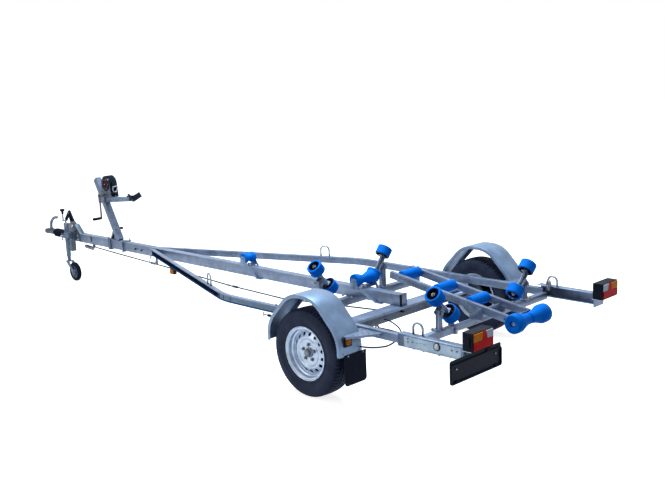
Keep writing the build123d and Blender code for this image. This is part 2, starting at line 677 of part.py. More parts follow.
def marker_lamps():
    """Amber lamps on the mudguards' rear faces and one under the left splayed rail."""
    solids = []
    for _, side in SIDES:
        solids.append(rod((-GUARD_HALF_X - 22, side * 1022, 466), (-GUARD_HALF_X, side * 1022, 466), 26))
    solids.append(block(2545, 2609, 300, 330, 400, RAIL_BOTTOM_Z))
    return solids


# ---- tie-down loops ------------------------------------------------------------------
# x, foot height, top height
LOOPS = (
    (1560.0, RAIL_TOP_Z, 618.0),
    (-795.0, ARM_TOP_Z, 622.0),
)
LOOP_BAR_R = 6.0
LOOP_HALF = 40.0


def rail_middle_y(x):
    """How far out the middle of a side rail is at x."""
    if x < RAIL_BEND_X:
        return RAIL_Y
    share = (x - RAIL_BEND_X) / (RAIL_FRONT_X - RAIL_BEND_X)
    return RAIL_Y + share * (KEEL_W / 2 - RAIL_Y)


def tie_down_loops():
    """Upright bar loops on the rails for the boat's lashing straps."""
    solids = []
    for x, foot, top in LOOPS:
        for _, side in SIDES:
            front = (x + LOOP_HALF, side * rail_middle_y(x + LOOP_HALF))
            back = (x - LOOP_HALF, side * rail_middle_y(x - LOOP_HALF))
            points = [(*back, foot), (*back, top - LOOP_BAR_R), (*front, top - LOOP_BAR_R), (*front, foot)]
            solids.append(bent_rod(points, LOOP_BAR_R, LOOP_HALF - 2))
    return solids


# ---- winch post ----------------------------------------------------------------------
def winch_plane():
    """The winch's seat on the arm: x forward along the arm's top, z up from it."""
    slope = math.radians(WINCH_SLOPE)
    top = WINCH_ARM_REAR_TOP_Z - (WINCH_X - WINCH_ARM_BACK_X) * math.tan(slope)
    return Plane(origin=(WINCH_X, 0, top), x_dir=(math.cos(slope), 0, -math.sin(slope)),
                 z_dir=(math.sin(slope), 0, math.cos(slope)))


def winch_axis(ahead, up):
    """A plane facing left at a place given in the winch's own seat frame."""
    seat = winch_plane()
    origin = seat.origin + seat.x_dir * ahead + seat.z_dir * up
    return Plane(origin=origin, x_dir=(1, 0, 0), z_dir=(0, 1, 0))


def winch_arm(front_x):
    """The tapered box arm from the post back to the bow stop."""
    wall = 3
    fall = math.tan(math.radians(WINCH_SLOPE))
    top = WINCH_ARM_REAR_TOP_Z - (front_x - WINCH_ARM_BACK_X) * fall
    rear_x = WINCH_ARM_BACK_X
    outline = [(rear_x, WINCH_ARM_REAR_LOW_Z), (front_x, WINCH_ARM_FRONT_LOW_Z), (front_x, top),
               (rear_x, WINCH_ARM_REAR_TOP_Z)]
    inside = [(rear_x - 1, WINCH_ARM_REAR_LOW_Z + wall), (front_x, WINCH_ARM_FRONT_LOW_Z + wall),
              (front_x, top - wall), (rear_x - 1, WINCH_ARM_REAR_TOP_Z - wall)]
    plane = Plane(origin=(0, WINCH_ARM_W / 2, 0), x_dir=(1, 0, 0), z_dir=(0, -1, 0))
    return plate(plane, outline, WINCH_ARM_W) - plate(plane.offset(wall), inside, WINCH_ARM_W - 2 * wall)


def winch_post():
    """The leaning post with its arm, set on the keel beam."""
    foot = (WINCH_BASE_X, 0, KEEL_TOP_Z + PLATE_T)
    top = (WINCH_TOP_X, 0, WINCH_TOP_Z)
    lean = (WINCH_TOP_X - WINCH_BASE_X) / (WINCH_TOP_Z - KEEL_TOP_Z - PLATE_T)
    post = beam(foot, top, WINCH_TUBE, WINCH_TUBE, 3)
    below = block(foot[0] - 200, foot[0] + 200, -60, 60, KEEL_TOP_Z - 100, KEEL_TOP_Z + PLATE_T)
    arm = winch_arm(WINCH_BASE_X + lean * (WINCH_ARM_FRONT_LOW_Z - KEEL_TOP_Z) - WINCH_TUBE / 2)
    half = KEEL_W / 2 + 2 - SEAT
    base = block(WINCH_BASE_X - 130, WINCH_BASE_X + 160, -half, half, KEEL_TOP_Z, KEEL_TOP_Z + PLATE_T)
    brace = beam((WINCH_BASE_X + 150, 0, KEEL_TOP_Z + PLATE_T), (WINCH_BASE_X + 66, 0, KEEL_TOP_Z + 100),
                 6, 30)
    lid = beam(top, (top[0] + 3, 0, WINCH_TOP_Z + 4), WINCH_TUBE, WINCH_TUBE)
    return one(one(post, brace) - below, arm, base, lid)


def beam_clamps():
    """U-clamps that hold the winch post on the keel beam and the jockey wheel beside it."""
    solids = []
    half = KEEL_W / 2
    for x in (WINCH_BASE_X - 105, WINCH_BASE_X + 135):
        bar = [(x, -half - 8, KEEL_TOP_Z + PLATE_T), (x, -half - 8, KEEL_BOTTOM_Z - 8),
               (x, half + 8, KEEL_BOTTOM_Z - 8), (x, half + 8, KEEL_TOP_Z + PLATE_T)]
        solids.append(bent_rod(bar, 6, 8))
    ring_y = JOCKEY_Y
    ring = rod((JOCKEY_X, ring_y, 470), (JOCKEY_X, ring_y, 530), JOCKEY_TUBE_R + 9, JOCKEY_TUBE_R + RUN_GAP)
    arm = block(JOCKEY_X - 26, JOCKEY_X + 26, 62, ring_y - JOCKEY_TUBE_R - 4, 470, 530)
    screw = rod((JOCKEY_X, ring_y + JOCKEY_TUBE_R + 4, 500), (JOCKEY_X, ring_y + JOCKEY_TUBE_R + 46, 500), 8)
    lever = rod((JOCKEY_X, ring_y + JOCKEY_TUBE_R + 36, 460), (JOCKEY_X, ring_y + JOCKEY_TUBE_R + 36, 540), 6)
    solids.append(one(ring, arm, screw, lever))
    return solids


def winch_frame():
    """Side plates and foot of the strap winch."""
    half = DRUM_CORE_W / 2 + SIDE_GAP
    seat = winch_plane()
    pieces = [seat * block(-80, 85, -half - 4, half + 4, 0, 4)]
    outline = [(-80, 0), (85, 0), (88, 90), (72, 160), (30, 205), (-22, 214), (-62, 188), (-80, 140)]
    for start in (half, -half - 4):
        side = Plane(origin=seat.origin + Vector(0, start + 4, 0), x_dir=seat.x_dir, z_dir=(0, -1, 0))
        pieces.append(plate(side, outline, 4))
    body = one(*pieces)
    for axis in (winch_axis(0, DRUM_UP), winch_axis(CRANK_AHEAD, CRANK_UP)):
        body = body - cross_bar(axis, half + 5, WINCH_PIN_R + RUN_GAP)
    return body


def winch_drum():
    """The drum's shaft with the strap wound on it."""
    half = DRUM_CORE_W / 2
    axis = winch_axis(0, DRUM_UP)
    return cross_bar(axis, half + 12, WINCH_PIN_R) + cross_bar(axis, half, DRUM_CORE_R)


def winch_crank():
    """The crank's shaft, its hanging arm and the grip."""
    half = DRUM_CORE_W / 2 + SIDE_GAP + 4
    x, _, z = winch_axis(CRANK_AHEAD, CRANK_UP).origin
    shaft = rod((x, -half - 8, z), (x, CRANK_Y + 4, z), WINCH_PIN_R)
    arm = beam((x, CRANK_Y, z + 14), (x - 2, CRANK_Y, CRANK_END_Z - 12), 8, 26)
    grip = rod((x - 2, CRANK_Y - 4, CRANK_END_Z), (x - 2, CRANK_Y + 106, CRANK_END_Z), 14)
    return one(shaft, arm, grip)


def bow_stop():
    """The upward-tilted vee block that the boat's bow is pulled against."""
    tilt = math.radians(44.4)
    middle_z = (WINCH_ARM_REAR_TOP_Z + WINCH_ARM_REAR_LOW_Z) / 2
    hub = Plane(origin=(WINCH_ARM_BACK_X - 27, 0, middle_z), x_dir=(0, 1, 0),
                z_dir=(math.sin(tilt), 0, math.cos(tilt)))
    outline = [(-74, 60), (-64, 72), (0, 16), (64, 72), (74, 60), (14, -8), (-14, -8)]
    vee = plate(hub.offset(-27), outline, 54)
    seat = winch_plane()
    arm_end = Plane(origin=(WINCH_ARM_BACK_X, 0, WINCH_ARM_REAR_TOP_Z), x_dir=seat.x_dir, z_dir=seat.z_dir)
    stalk = arm_end * block(-32, 60, -14, 14, SEAT, 14)
    return one(vee, stalk)


# ---- brakes and leads ----------------------------------------------------------------
def brake_rod():
    """The brake rod under the keel beam, from the overrun lever to the axle's equaliser."""
    points = [(4480, 0, 395), (3972, 0, 372), (3146, 0, 339), (2156, 0, 290), (1411, 0, 276), (260, 0, 356)]
    bar = bent_rod(points, 5, 300)
    nuts = [rod((x, 0, z), (x - 60, 0, z - drop), 10)
            for x, z, drop in ((3400, 349.1, 2.4), (2096, 288.9, 1.1))]
    hanger = block(3290, 3310, -4, 4, 345, KEEL_BOTTOM_Z)
    foot = block(250, 280, -26, 26, 346, 366)
    link = block(AXLE_X + AXLE_TUBE / 2, 262, -6, 6, 350, 362)
    top = block(4460, 4492, -6, 6, 389, KEEL_BOTTOM_Z)
    return one(bar, *nuts, hanger, foot, link, top)


def leads():
    """Black leads from the axle and the mudguard to the rails."""
    first = [(AXLE_X - 20, 300, AXLE_BOTTOM_Z), (AXLE_X - 20, 300, 318), (AXLE_X - 60, 480, 300),
             (AXLE_X - 80, 640, 330), (AXLE_X - 80, 720, 400), (AXLE_X - 80, 760, RAIL_BOTTOM_Z)]
    second = [(REAR_X + 16, 560, REAR_TOP_Z - REAR_TUBE), (REAR_X + 16, 560, 406), (REAR_X + 90, 530, 404),
              (-520, 480, 396), (-300, 410, 366), (-120, 330, 340), (AXLE_X, 260, 310),
              (AXLE_X, 260, AXLE_BOTTOM_Z)]
    solids = []
    for points, bend in ((first, 20), (second, 24)):
        solids.append(bent_rod(points, 4, bend))
    return solids


# ---- overrun device and coupling -----------------------------------------------------
def overrun_housing():
    """The cast housing on the keel beam's nose that guides the coupling shaft."""
    x0, x1 = KEEL_FRONT_X, HOUSING_FRONT_X
    body = block(x0, x1, -45, 45, SHAFT_Z - 42, SHAFT_Z + 42)
    collar = rod((x1 - 30, 0, SHAFT_Z), (x1, 0, SHAFT_Z), 46)
    side_view = [(x0 + 12, SHAFT_Z + 42), (x0 + 292, SHAFT_Z + 42), (x0 + 262, 616), (x0 + 110, 616)]
    top = plate(Plane(origin=(0, 30, 0), x_dir=(1, 0, 0), z_dir=(0, -1, 0)), side_view, 60)
    lever_box = block(x0 + 215, x0 + 285, -26, 26, 300, SHAFT_Z - 42)
    jaw = block(x0 + 100, x0 + 200, 45, 62, 450, 535)
    bore = rod((x0 + BORE_BACK, 0, SHAFT_Z), (x1 + 1, 0, SHAFT_Z), SHAFT_R + RUN_GAP)
    return one(body, collar, top, lever_box, jaw) - bore


def handbrake_lever():
    """The parking brake lever lying forward over the housing."""
    x0 = KEEL_FRONT_X
    foot = block(x0 + 140, x0 + 188, -12, 12, 616, 644)
    lever = beam((x0 + 164, 0, 632), (x0 + 252, 0, 750), 16, 24)
    grip = rod((x0 + 246, 0, 744), (x0 + 340, 0, 640), 14)
    return one(foot, lever, grip)


def coupling_head():
    """The sliding shaft and the ball coupling with its socket and handle."""
    back = KEEL_FRONT_X + BORE_BACK + OVERRUN_TRAVEL + 10
    shaft = rod((back, 0, SHAFT_Z), (NOSE_X - 180, 0, SHAFT_Z), SHAFT_R)
    outline = [(NOSE_X - 210, 30), (NOSE_X - 110, 36), (NOSE_X - 50, 46), (NOSE_X - 14, 34), (NOSE_X, 14),
               (NOSE_X, -14), (NOSE_X - 14, -34), (NOSE_X - 50, -46), (NOSE_X - 110, -36),
               (NOSE_X - 210, -30)]
    shell = plate(Plane.XY.offset(SHAFT_Z - 26), outline[::-1], 62)
    socket = rod((NOSE_X - 46, 0, SHAFT_Z - 27), (NOSE_X - 46, 0, SHAFT_Z + 14), BALL_R)
    handle = bent_rod([(NOSE_X - 110, 0, SHAFT_Z + 30), (NOSE_X - 114, 0, SHAFT_Z + 100),
                       (NOSE_X - 190, 0, SHAFT_Z + 162), (NOSE_X - 256, 0, SHAFT_Z + 178)], 13, 30)
    return one(shaft, shell, handle) - socket


def bellows():
    """The rubber bellows over the sliding shaft."""
    x0, x1 = HOUSING_FRONT_X + SEAT, NOSE_X - 210 - SEAT
    ribs = 7
    step = (x1 - x0) / ribs
    low, high = 38, 48
    outline = [(SHAFT_R + 4, 0), (low, 0)]
    for index in range(ribs):
        outline += [(high, step * (index + 0.5)), (low, step * (index + 1))]
    outline += [(SHAFT_R + 4, x1 - x0)]
    plane = Plane(origin=(x0, 0, SHAFT_Z), x_dir=(0, 1, 0), z_dir=(1, 0, 0))
    return turned(outline, plane)


# ---- jockey wheel --------------------------------------------------------------------
def jockey_tube():
    """The outer tube with its crank and knob on top."""
    tube = rod((JOCKEY_X, JOCKEY_Y, JOCKEY_TUBE_BOTTOM_Z), (JOCKEY_X, JOCKEY_Y, 623), JOCKEY_TUBE_R,
               JOCKEY_LEG_R + RUN_GAP)
    lid = rod((JOCKEY_X, JOCKEY_Y, 623), (JOCKEY_X, JOCKEY_Y, 640), JOCKEY_TUBE_R)
    stem = rod((JOCKEY_X, JOCKEY_Y, 640), (JOCKEY_X, JOCKEY_Y, 668), 8)
    crank = beam((JOCKEY_X - 6, JOCKEY_Y, 662), (JOCKEY_X + 62, JOCKEY_Y, 662), 18, 8)
    pin = rod((JOCKEY_X + 52, JOCKEY_Y, 662), (JOCKEY_X + 52, JOCKEY_Y, 766), 8)
    knob = rod((JOCKEY_X + 52, JOCKEY_Y, 764), (JOCKEY_X + 52, JOCKEY_Y, 788), 22)
    return one(tube, lid, stem, crank, pin, knob)


def jockey_leg():
    """The inner tube that the crank draws up."""
    return rod((JOCKEY_X, JOCKEY_Y, 216), (JOCKEY_X, JOCKEY_Y, 470), JOCKEY_LEG_R)


def jockey_fork():
    """The fork that swivels under the inner tube and holds the wheel's axle."""
    inner = JOCKEY_WHEEL_W / 2 + 4
    crown = block(JOCKEY_X - 50, JOCKEY_X + 26, JOCKEY_Y - inner - 5, JOCKEY_Y + inner + 5,
                  210, 216 - SEAT)
    axle_x = JOCKEY_X - JOCKEY_TRAIL
    pieces = [crown]
    outline = [(axle_x - 14, JOCKEY_WHEEL_R - 14), (axle_x + 14, JOCKEY_WHEEL_R - 14), (JOCKEY_X + 26, 212),
               (JOCKEY_X - 50, 212)]
    for start in (inner, -inner - 5):
        plane = Plane(origin=(0, JOCKEY_Y + start + 5, 0), x_dir=(1, 0, 0), z_dir=(0, -1, 0))
        pieces.append(plate(plane, outline, 5))
    pieces.append(rod((axle_x, JOCKEY_Y - inner - 12, JOCKEY_WHEEL_R),
                      (axle_x, JOCKEY_Y + inner + 12, JOCKEY_WHEEL_R), JOCKEY_AXLE_R))
    return one(*pieces)


def jockey_wheel():
    """The solid-tyred jockey wheel."""
    half = JOCKEY_WHEEL_W / 2
    plane = Plane(origin=(JOCKEY_X - JOCKEY_TRAIL, JOCKEY_Y, JOCKEY_WHEEL_R), x_dir=(1, 0, 0), z_dir=(0, 1, 0))
    bore = JOCKEY_AXLE_R + RUN_GAP
    profile = [(bore, -half - 2), (26, -half - 2), (26, -half + 10), (66, -half + 10), (70, -half),
               (JOCKEY_WHEEL_R - 8, -half), (JOCKEY_WHEEL_R, -half + 8), (JOCKEY_WHEEL_R, half - 8),
               (JOCKEY_WHEEL_R - 8, half), (70, half), (66, half - 10), (26, half - 10), (26, half + 2),
               (bore, half + 2)]
    return turned(profile, plane)


# ---- the whole trailer ---------------------------------------------------------------
def build():
    """Writes every node."""
    os.makedirs("parts", exist_ok=True)
    save("keel_beam", keel_beam())
    save("front_crossmember", front_crossmember())
    save("rear_crossmember", rear_crossmember())
    save("axle", axle())
    save("axle_carrier", axle_carrier())
    for name, side in SIDES:
        save(f"side_rail_{name}", side_rail(side))
        save(f"tyre_{name}", tyre(side))
        save(f"wheel_{name}", wheel(side))
        save(f"mudguard_{name}", mudguard(side))
    save("guard_brackets", *guard_brackets())
    save("mudflaps", *mudflaps())
    for place, width, x, y, pin_z, tilt, foot in PAIRS:
        save(f"{place}_posts", *posts(width, x, y, pin_z, foot))
        for name, side in SIDES:
            save(f"rocker_{place}_{name}", rocker(width, x, y, pin_z, tilt, side))
            for end, reach in (("outer", 1), ("inner", -1)):
                save(f"roller_{place}_{name}_{end}", wobble_roller(x, y, pin_z, tilt, side, reach))
    for name, x, z, half, radius, waist, _ in KEEL_ROLLERS:
        save(name, keel_roller(x, z, half, radius, waist))
    save("keel_roller_brackets", *keel_roller_brackets())
    save("ladder", ladder())
    for name, along in RUNGS:
        save(name, rung_roller(along))
    save("bumper_rollers", *bumper_rollers())
    save("light_arms", *light_arms())
    save("lamp_housings", *lamp_housings())
    save("plate_holder", plate_holder())
    save("marker_lamps", *marker_lamps())
    save("tie_down_loops", *tie_down_loops())
    save("winch_post", winch_post())
    save("beam_clamps", *beam_clamps())
    save("winch_frame", winch_frame())
    save("winch_drum", winch_drum())
    save("winch_crank", winch_crank())
    save("bow_stop", bow_stop())
    save("brake_rod", brake_rod())
    save("leads", *leads())
    save("overrun_housing", overrun_housing())
    save("handbrake_lever", handbrake_lever())
    save("coupling_head", coupling_head())
    save("bellows", bellows())
    save("jockey_tube", jockey_tube())
    save("jockey_leg", jockey_leg())
    save("jockey_fork", jockey_fork())
    save("jockey_wheel", jockey_wheel())


build()
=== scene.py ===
import json
import math

import bmesh
import bpy
from mathutils import Matrix, Vector


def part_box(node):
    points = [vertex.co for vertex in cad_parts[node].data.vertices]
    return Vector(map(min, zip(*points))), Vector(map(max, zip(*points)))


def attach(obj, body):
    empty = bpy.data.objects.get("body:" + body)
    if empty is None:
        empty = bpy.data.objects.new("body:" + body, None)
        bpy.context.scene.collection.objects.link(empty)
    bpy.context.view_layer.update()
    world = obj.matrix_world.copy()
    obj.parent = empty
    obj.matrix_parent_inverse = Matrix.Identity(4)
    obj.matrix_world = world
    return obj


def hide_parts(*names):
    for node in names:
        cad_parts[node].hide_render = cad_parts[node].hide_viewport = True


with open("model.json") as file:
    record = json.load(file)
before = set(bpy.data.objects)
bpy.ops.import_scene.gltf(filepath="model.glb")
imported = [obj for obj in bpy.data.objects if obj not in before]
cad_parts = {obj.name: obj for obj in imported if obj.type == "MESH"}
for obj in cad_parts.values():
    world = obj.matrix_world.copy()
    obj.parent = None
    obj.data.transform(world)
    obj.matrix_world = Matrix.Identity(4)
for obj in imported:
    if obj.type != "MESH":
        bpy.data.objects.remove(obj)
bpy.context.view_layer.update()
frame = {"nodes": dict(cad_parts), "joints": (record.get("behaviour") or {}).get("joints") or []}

scene = bpy.context.scene
nodes = frame["nodes"]
joints = {joint["name"]: joint for joint in frame["joints"]}

X_AXIS = Vector((1, 0, 0))
Y_AXIS = Vector((0, 1, 0))
Z_AXIS = Vector((0, 0, 1))
SIDES = (("left", 1), ("right", -1))


def pin(name):
    """Where a joint turns, and its axis."""
    joint = joints[name]
    return Vector(joint["pos_m"]), Vector(joint["axis"]).normalized()


def low(node):
    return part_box(node)[0]


def high(node):
    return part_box(node)[1]


# ---- camera --------------------------------------------------------------------------
CAMERA_PLACE = Vector((-6.802, 5.413, 2.355))
CAMERA_YAW = math.radians(-44.643)
CAMERA_PITCH = math.radians(-11.474)
CAMERA_ROLL = math.radians(-2.448)
FOCAL_PIXELS = 962.163
IMAGE_WIDTH = 665
SENSOR = 36.0


def make_camera():
    """The camera at the photograph's place, aim, roll and focal length."""
    ahead = Vector((math.cos(CAMERA_PITCH) * math.cos(CAMERA_YAW),
                    math.cos(CAMERA_PITCH) * math.sin(CAMERA_YAW), math.sin(CAMERA_PITCH)))
    right = ahead.cross(Z_AXIS).normalized()
    up = right.cross(ahead)
    turned_right = right * math.cos(CAMERA_ROLL) + up * math.sin(CAMERA_ROLL)
    turned_up = up * math.cos(CAMERA_ROLL) - right * math.sin(CAMERA_ROLL)
    data = bpy.data.cameras.new("camera")
    data.sensor_width = SENSOR
    data.lens = FOCAL_PIXELS * SENSOR / IMAGE_WIDTH
    camera = bpy.data.objects.new("camera", data)
    scene.collection.objects.link(camera)
    basis = Matrix((turned_right, turned_up, -ahead)).transposed()
    camera.matrix_world = Matrix.Translation(CAMERA_PLACE) @ basis.to_4x4()
    scene.camera = camera


# ---- materials -----------------------------------------------------------------------
class Shader:
    """A material's node tree, with short calls for the nodes that are used here."""

    def __init__(self, name):
        self.material = bpy.data.materials.new(name)
        self.material.use_nodes = True
        self.tree = self.material.node_tree
        self.base = self.tree.nodes["Principled BSDF"]
        self.place = self.tree.nodes.new("ShaderNodeTexCoord").outputs["Object"]

    def link(self, source, target):
        self.tree.links.new(source, target)

    def noise(self, scale, detail=4.0, rough=0.55, stretch=None):
        node = self.tree.nodes.new("ShaderNodeTexNoise")
        node.inputs["Scale"].default_value = scale
        node.inputs["Detail"].default_value = detail
        node.inputs["Roughness"].default_value = rough
        self.link(self.stretched(stretch) if stretch else self.place, node.inputs["Vector"])
        return node.outputs["Fac"]

    def stretched(self, factors):
        node = self.tree.nodes.new("ShaderNodeMapping")
        node.inputs["Scale"].default_value = factors
        self.link(self.place, node.inputs["Vector"])
        return node.outputs["Vector"]

    def cells(self, scale, randomness=1.0):
        node = self.tree.nodes.new("ShaderNodeTexVoronoi")
        node.inputs["Scale"].default_value = scale
        node.inputs["Randomness"].default_value = randomness
        self.link(self.place, node.inputs["Vector"])
        split = self.tree.nodes.new("ShaderNodeSeparateColor")
        self.link(node.outputs["Color"], split.inputs["Color"])
        return split.outputs["Red"]

    def ramp(self, value, stops):
        node = self.tree.nodes.new("ShaderNodeValToRGB")
        ramp = node.color_ramp
        while len(ramp.elements) < len(stops):
            ramp.elements.new(0.5)
        for element, (at, colour) in zip(ramp.elements, stops):
            element.position = at
            element.color = (*colour, 1.0)
        self.link(value, node.inputs["Fac"])
        return node.outputs["Color"]

    def mix(self, share, first, second, how="MIX"):
        node = self.tree.nodes.new("ShaderNodeMix")
        node.data_type = "RGBA"
        node.blend_type = how
        if isinstance(share, float):
            node.inputs["Factor"].default_value = share
        else:
            self.link(share, node.inputs["Factor"])
        self.link(first, node.inputs["A"])
        self.link(second, node.inputs["B"])
        return node.outputs["Result"]

    def span(self, value, lowest, highest):
        node = self.tree.nodes.new("ShaderNodeMapRange")
        node.inputs["To Min"].default_value = lowest
        node.inputs["To Max"].default_value = highest
        self.link(value, node.inputs["Value"])
        return node.outputs["Result"]

    def colour(self, source):
        self.link(source, self.base.inputs["Base Color"])

    def rough(self, source):
        self.link(source, self.base.inputs["Roughness"])

    def bump(self, height, strength, distance):
        node = self.tree.nodes.new("ShaderNodeBump")
        node.inputs["Strength"].default_value = strength
        node.inputs["Distance"].default_value = distance
        self.link(height, node.inputs["Height"])
        self.link(node.outputs["Normal"], self.base.inputs["Normal"])

    def put(self, socket, value):
        self.base.inputs[socket].default_value = value


def galvanised(name, pale, middle, dark, metal=0.40, spangle=55.0):
    """Hot-dip zinc: a mottled grey with soft spangles and dull runs."""
    shade = Shader(name)
    cloud = shade.noise(7.0, 5.0)
    fine = shade.noise(90.0, 3.0)
    grain = shade.cells(spangle)
    broad = shade.ramp(cloud, ((0.30, dark), (0.52, middle), (0.74, pale)))
    speckle = shade.ramp(grain, ((0.0, dark), (0.5, middle), (1.0, pale)))
    shade.colour(shade.mix(0.22, broad, speckle))
    shade.rough(shade.span(shade.noise(24.0), 0.30, 0.52))
    shade.bump(fine, 0.12, 0.0006)
    shade.put("Metallic", metal)
    return shade.material


def plated(name, pale, dark, metal=0.8, lowest=0.22, highest=0.42):
    """Bright plated or machined steel with faint handling marks."""
    shade = Shader(name)
    cloud = shade.noise(30.0, 4.0)
    shade.colour(shade.ramp(cloud, ((0.3, dark), (0.7, pale))))
    shade.rough(shade.span(shade.noise(60.0, 3.0), lowest, highest))
    shade.bump(shade.noise(260.0, 2.0), 0.08, 0.0003)
    shade.put("Metallic", metal)
    return shade.material


def plastic(name, pale, dark, lowest=0.32, highest=0.5, coat=0.0, grain=420.0, depth=0.1):
    """Moulded plastic or rubber with a fine grain and slight unevenness of colour."""
    shade = Shader(name)
    shade.colour(shade.ramp(shade.noise(18.0, 5.0), ((0.3, dark), (0.7, pale))))
    shade.rough(shade.span(shade.noise(45.0, 3.0), lowest, highest))
    shade.bump(shade.noise(grain, 2.0), depth, 0.0004)
    shade.put("Specular IOR Level", 0.07)
    if coat:
        shade.put("Coat Weight", coat)
        shade.put("Coat Roughness", 0.15)
    return shade.material


def lens(name, pale, dark):
    """A ribbed coloured lamp lens."""
    shade = Shader(name)
    shade.colour(shade.ramp(shade.noise(70.0, 2.0), ((0.3, dark), (0.7, pale))))
    ribs = shade.tree.nodes.new("ShaderNodeTexWave")
    ribs.bands_direction = "Z"
    ribs.inputs["Scale"].default_value = 60.0
    shade.link(shade.place, ribs.inputs["Vector"])
    shade.bump(ribs.outputs["Fac"], 0.25, 0.0006)
    shade.put("Roughness", 0.28)
    shade.put("Specular IOR Level", 0.04)
    return shade.material


def film(name, pale, dark):
    """Printed film on steel: flat colour, a little faded, with no shine."""
    shade = Shader(name)
    shade.colour(shade.ramp(shade.noise(12.0, 4.0), ((0.3, dark), (0.7, pale))))
    shade.rough(shade.span(shade.noise(60.0, 3.0), 0.85, 1.0))
    shade.bump(shade.noise(300.0, 2.0), 0.05, 0.0002)
    shade.put("Specular IOR Level", 0.0)
    return shade.material


STEEL = galvanised("galvanised", (0.25, 0.33, 0.48), (0.165, 0.218, 0.330), (0.095, 0.125, 0.200), 0.34,
                   45.0)
SHEET = galvanised("galvanised_sheet", (0.25, 0.37, 0.57), (0.19, 0.285, 0.44), (0.135, 0.205, 0.325), 0.40,
                   18.0)
ARM_SHEET = galvanised("bright_sheet", (0.52, 0.64, 0.74), (0.38, 0.49, 0.60), (0.26, 0.34, 0.44), 0.35,
                       25.0)
BRIGHT = plated("zinc_plate", (0.40, 0.43, 0.47), (0.17, 0.19, 0.23), 0.55, 0.30, 0.50)
DULL = plated("worn_zinc", (0.24, 0.27, 0.32), (0.09, 0.10, 0.13), 0.5, 0.35, 0.55)
ROD_STEEL = plated("rod_steel", (0.13, 0.13, 0.13), (0.06, 0.06, 0.07), 0.3, 0.45, 0.65)
TUBE_STEEL = plated("tube_steel", (0.15, 0.21, 0.30), (0.05, 0.07, 0.11), 0.22, 0.35, 0.55)
CAST = galvanised("cast_steel", (0.12, 0.17, 0.24), (0.055, 0.080, 0.120), (0.020, 0.030, 0.050), 0.18,
                  120.0)
SILVER = plated("silver_paint", (0.62, 0.72, 0.87), (0.46, 0.55, 0.68), 0.40, 0.28, 0.4)
BLUE = plastic("blue_roller", (0.0, 0.245, 0.98), (0.0, 0.175, 0.80), 0.5, 0.7)
BLACK = plastic("black_plastic", (0.007, 0.010, 0.024), (0.003, 0.005, 0.012), 0.4, 0.6)
RUBBER = plastic("black_rubber", (0.008, 0.011, 0.026), (0.004, 0.006, 0.014), 0.6, 0.8, grain=300.0,
                 depth=0.2)
STRAP = plastic("strap_web", (0.014, 0.018, 0.030), (0.006, 0.008, 0.014), 0.7, 0.9, grain=700.0, depth=0.4)
RED_LENS = lens("red_lens", (0.95, 0.004, 0.014), (0.74, 0.003, 0.009))
AMBER_LENS = lens("amber_lens", (1.0, 0.32, 0.010), (0.90, 0.19, 0.005))
CLEAR_LENS = lens("clear_lens", (0.85, 0.86, 0.90), (0.62, 0.64, 0.70))
STRIPE_NAVY = film("navy_film", (0.014, 0.020, 0.045), (0.008, 0.012, 0.030))
STRIPE_BLUE = film("blue_film", (0.010, 0.17, 0.44), (0.006, 0.12, 0.34))
STRIPE_WHITE = film("white_film", (0.42, 0.52, 0.62), (0.30, 0.38, 0.48))
RED_LABEL = plastic("red_label", (0.26, 0.035, 0.03), (0.15, 0.02, 0.02), 0.35, 0.5)


def tyre_rubber():
    """Tyre rubber: nearly black, its pale tone lightened to blue grey as painted sheen, mixed at random,
    fine bump.
    """
    shade = Shader("tyre_rubber")
    # the pale stop is a blue-grey lightening that stands in for sheen on the rubber: painted sheen
    shade.colour(shade.ramp(shade.noise(9.0, 6.0), ((0.3, (0.020, 0.027, 0.052)),
                                                    (0.75, (0.058, 0.074, 0.130)))))
    shade.rough(shade.span(shade.noise(40.0), 0.55, 0.78))
    shade.bump(shade.noise(240.0, 3.0), 0.25, 0.0006)
    shade.put("Specular IOR Level", 0.12)
    return shade.material


TYRE = tyre_rubber()


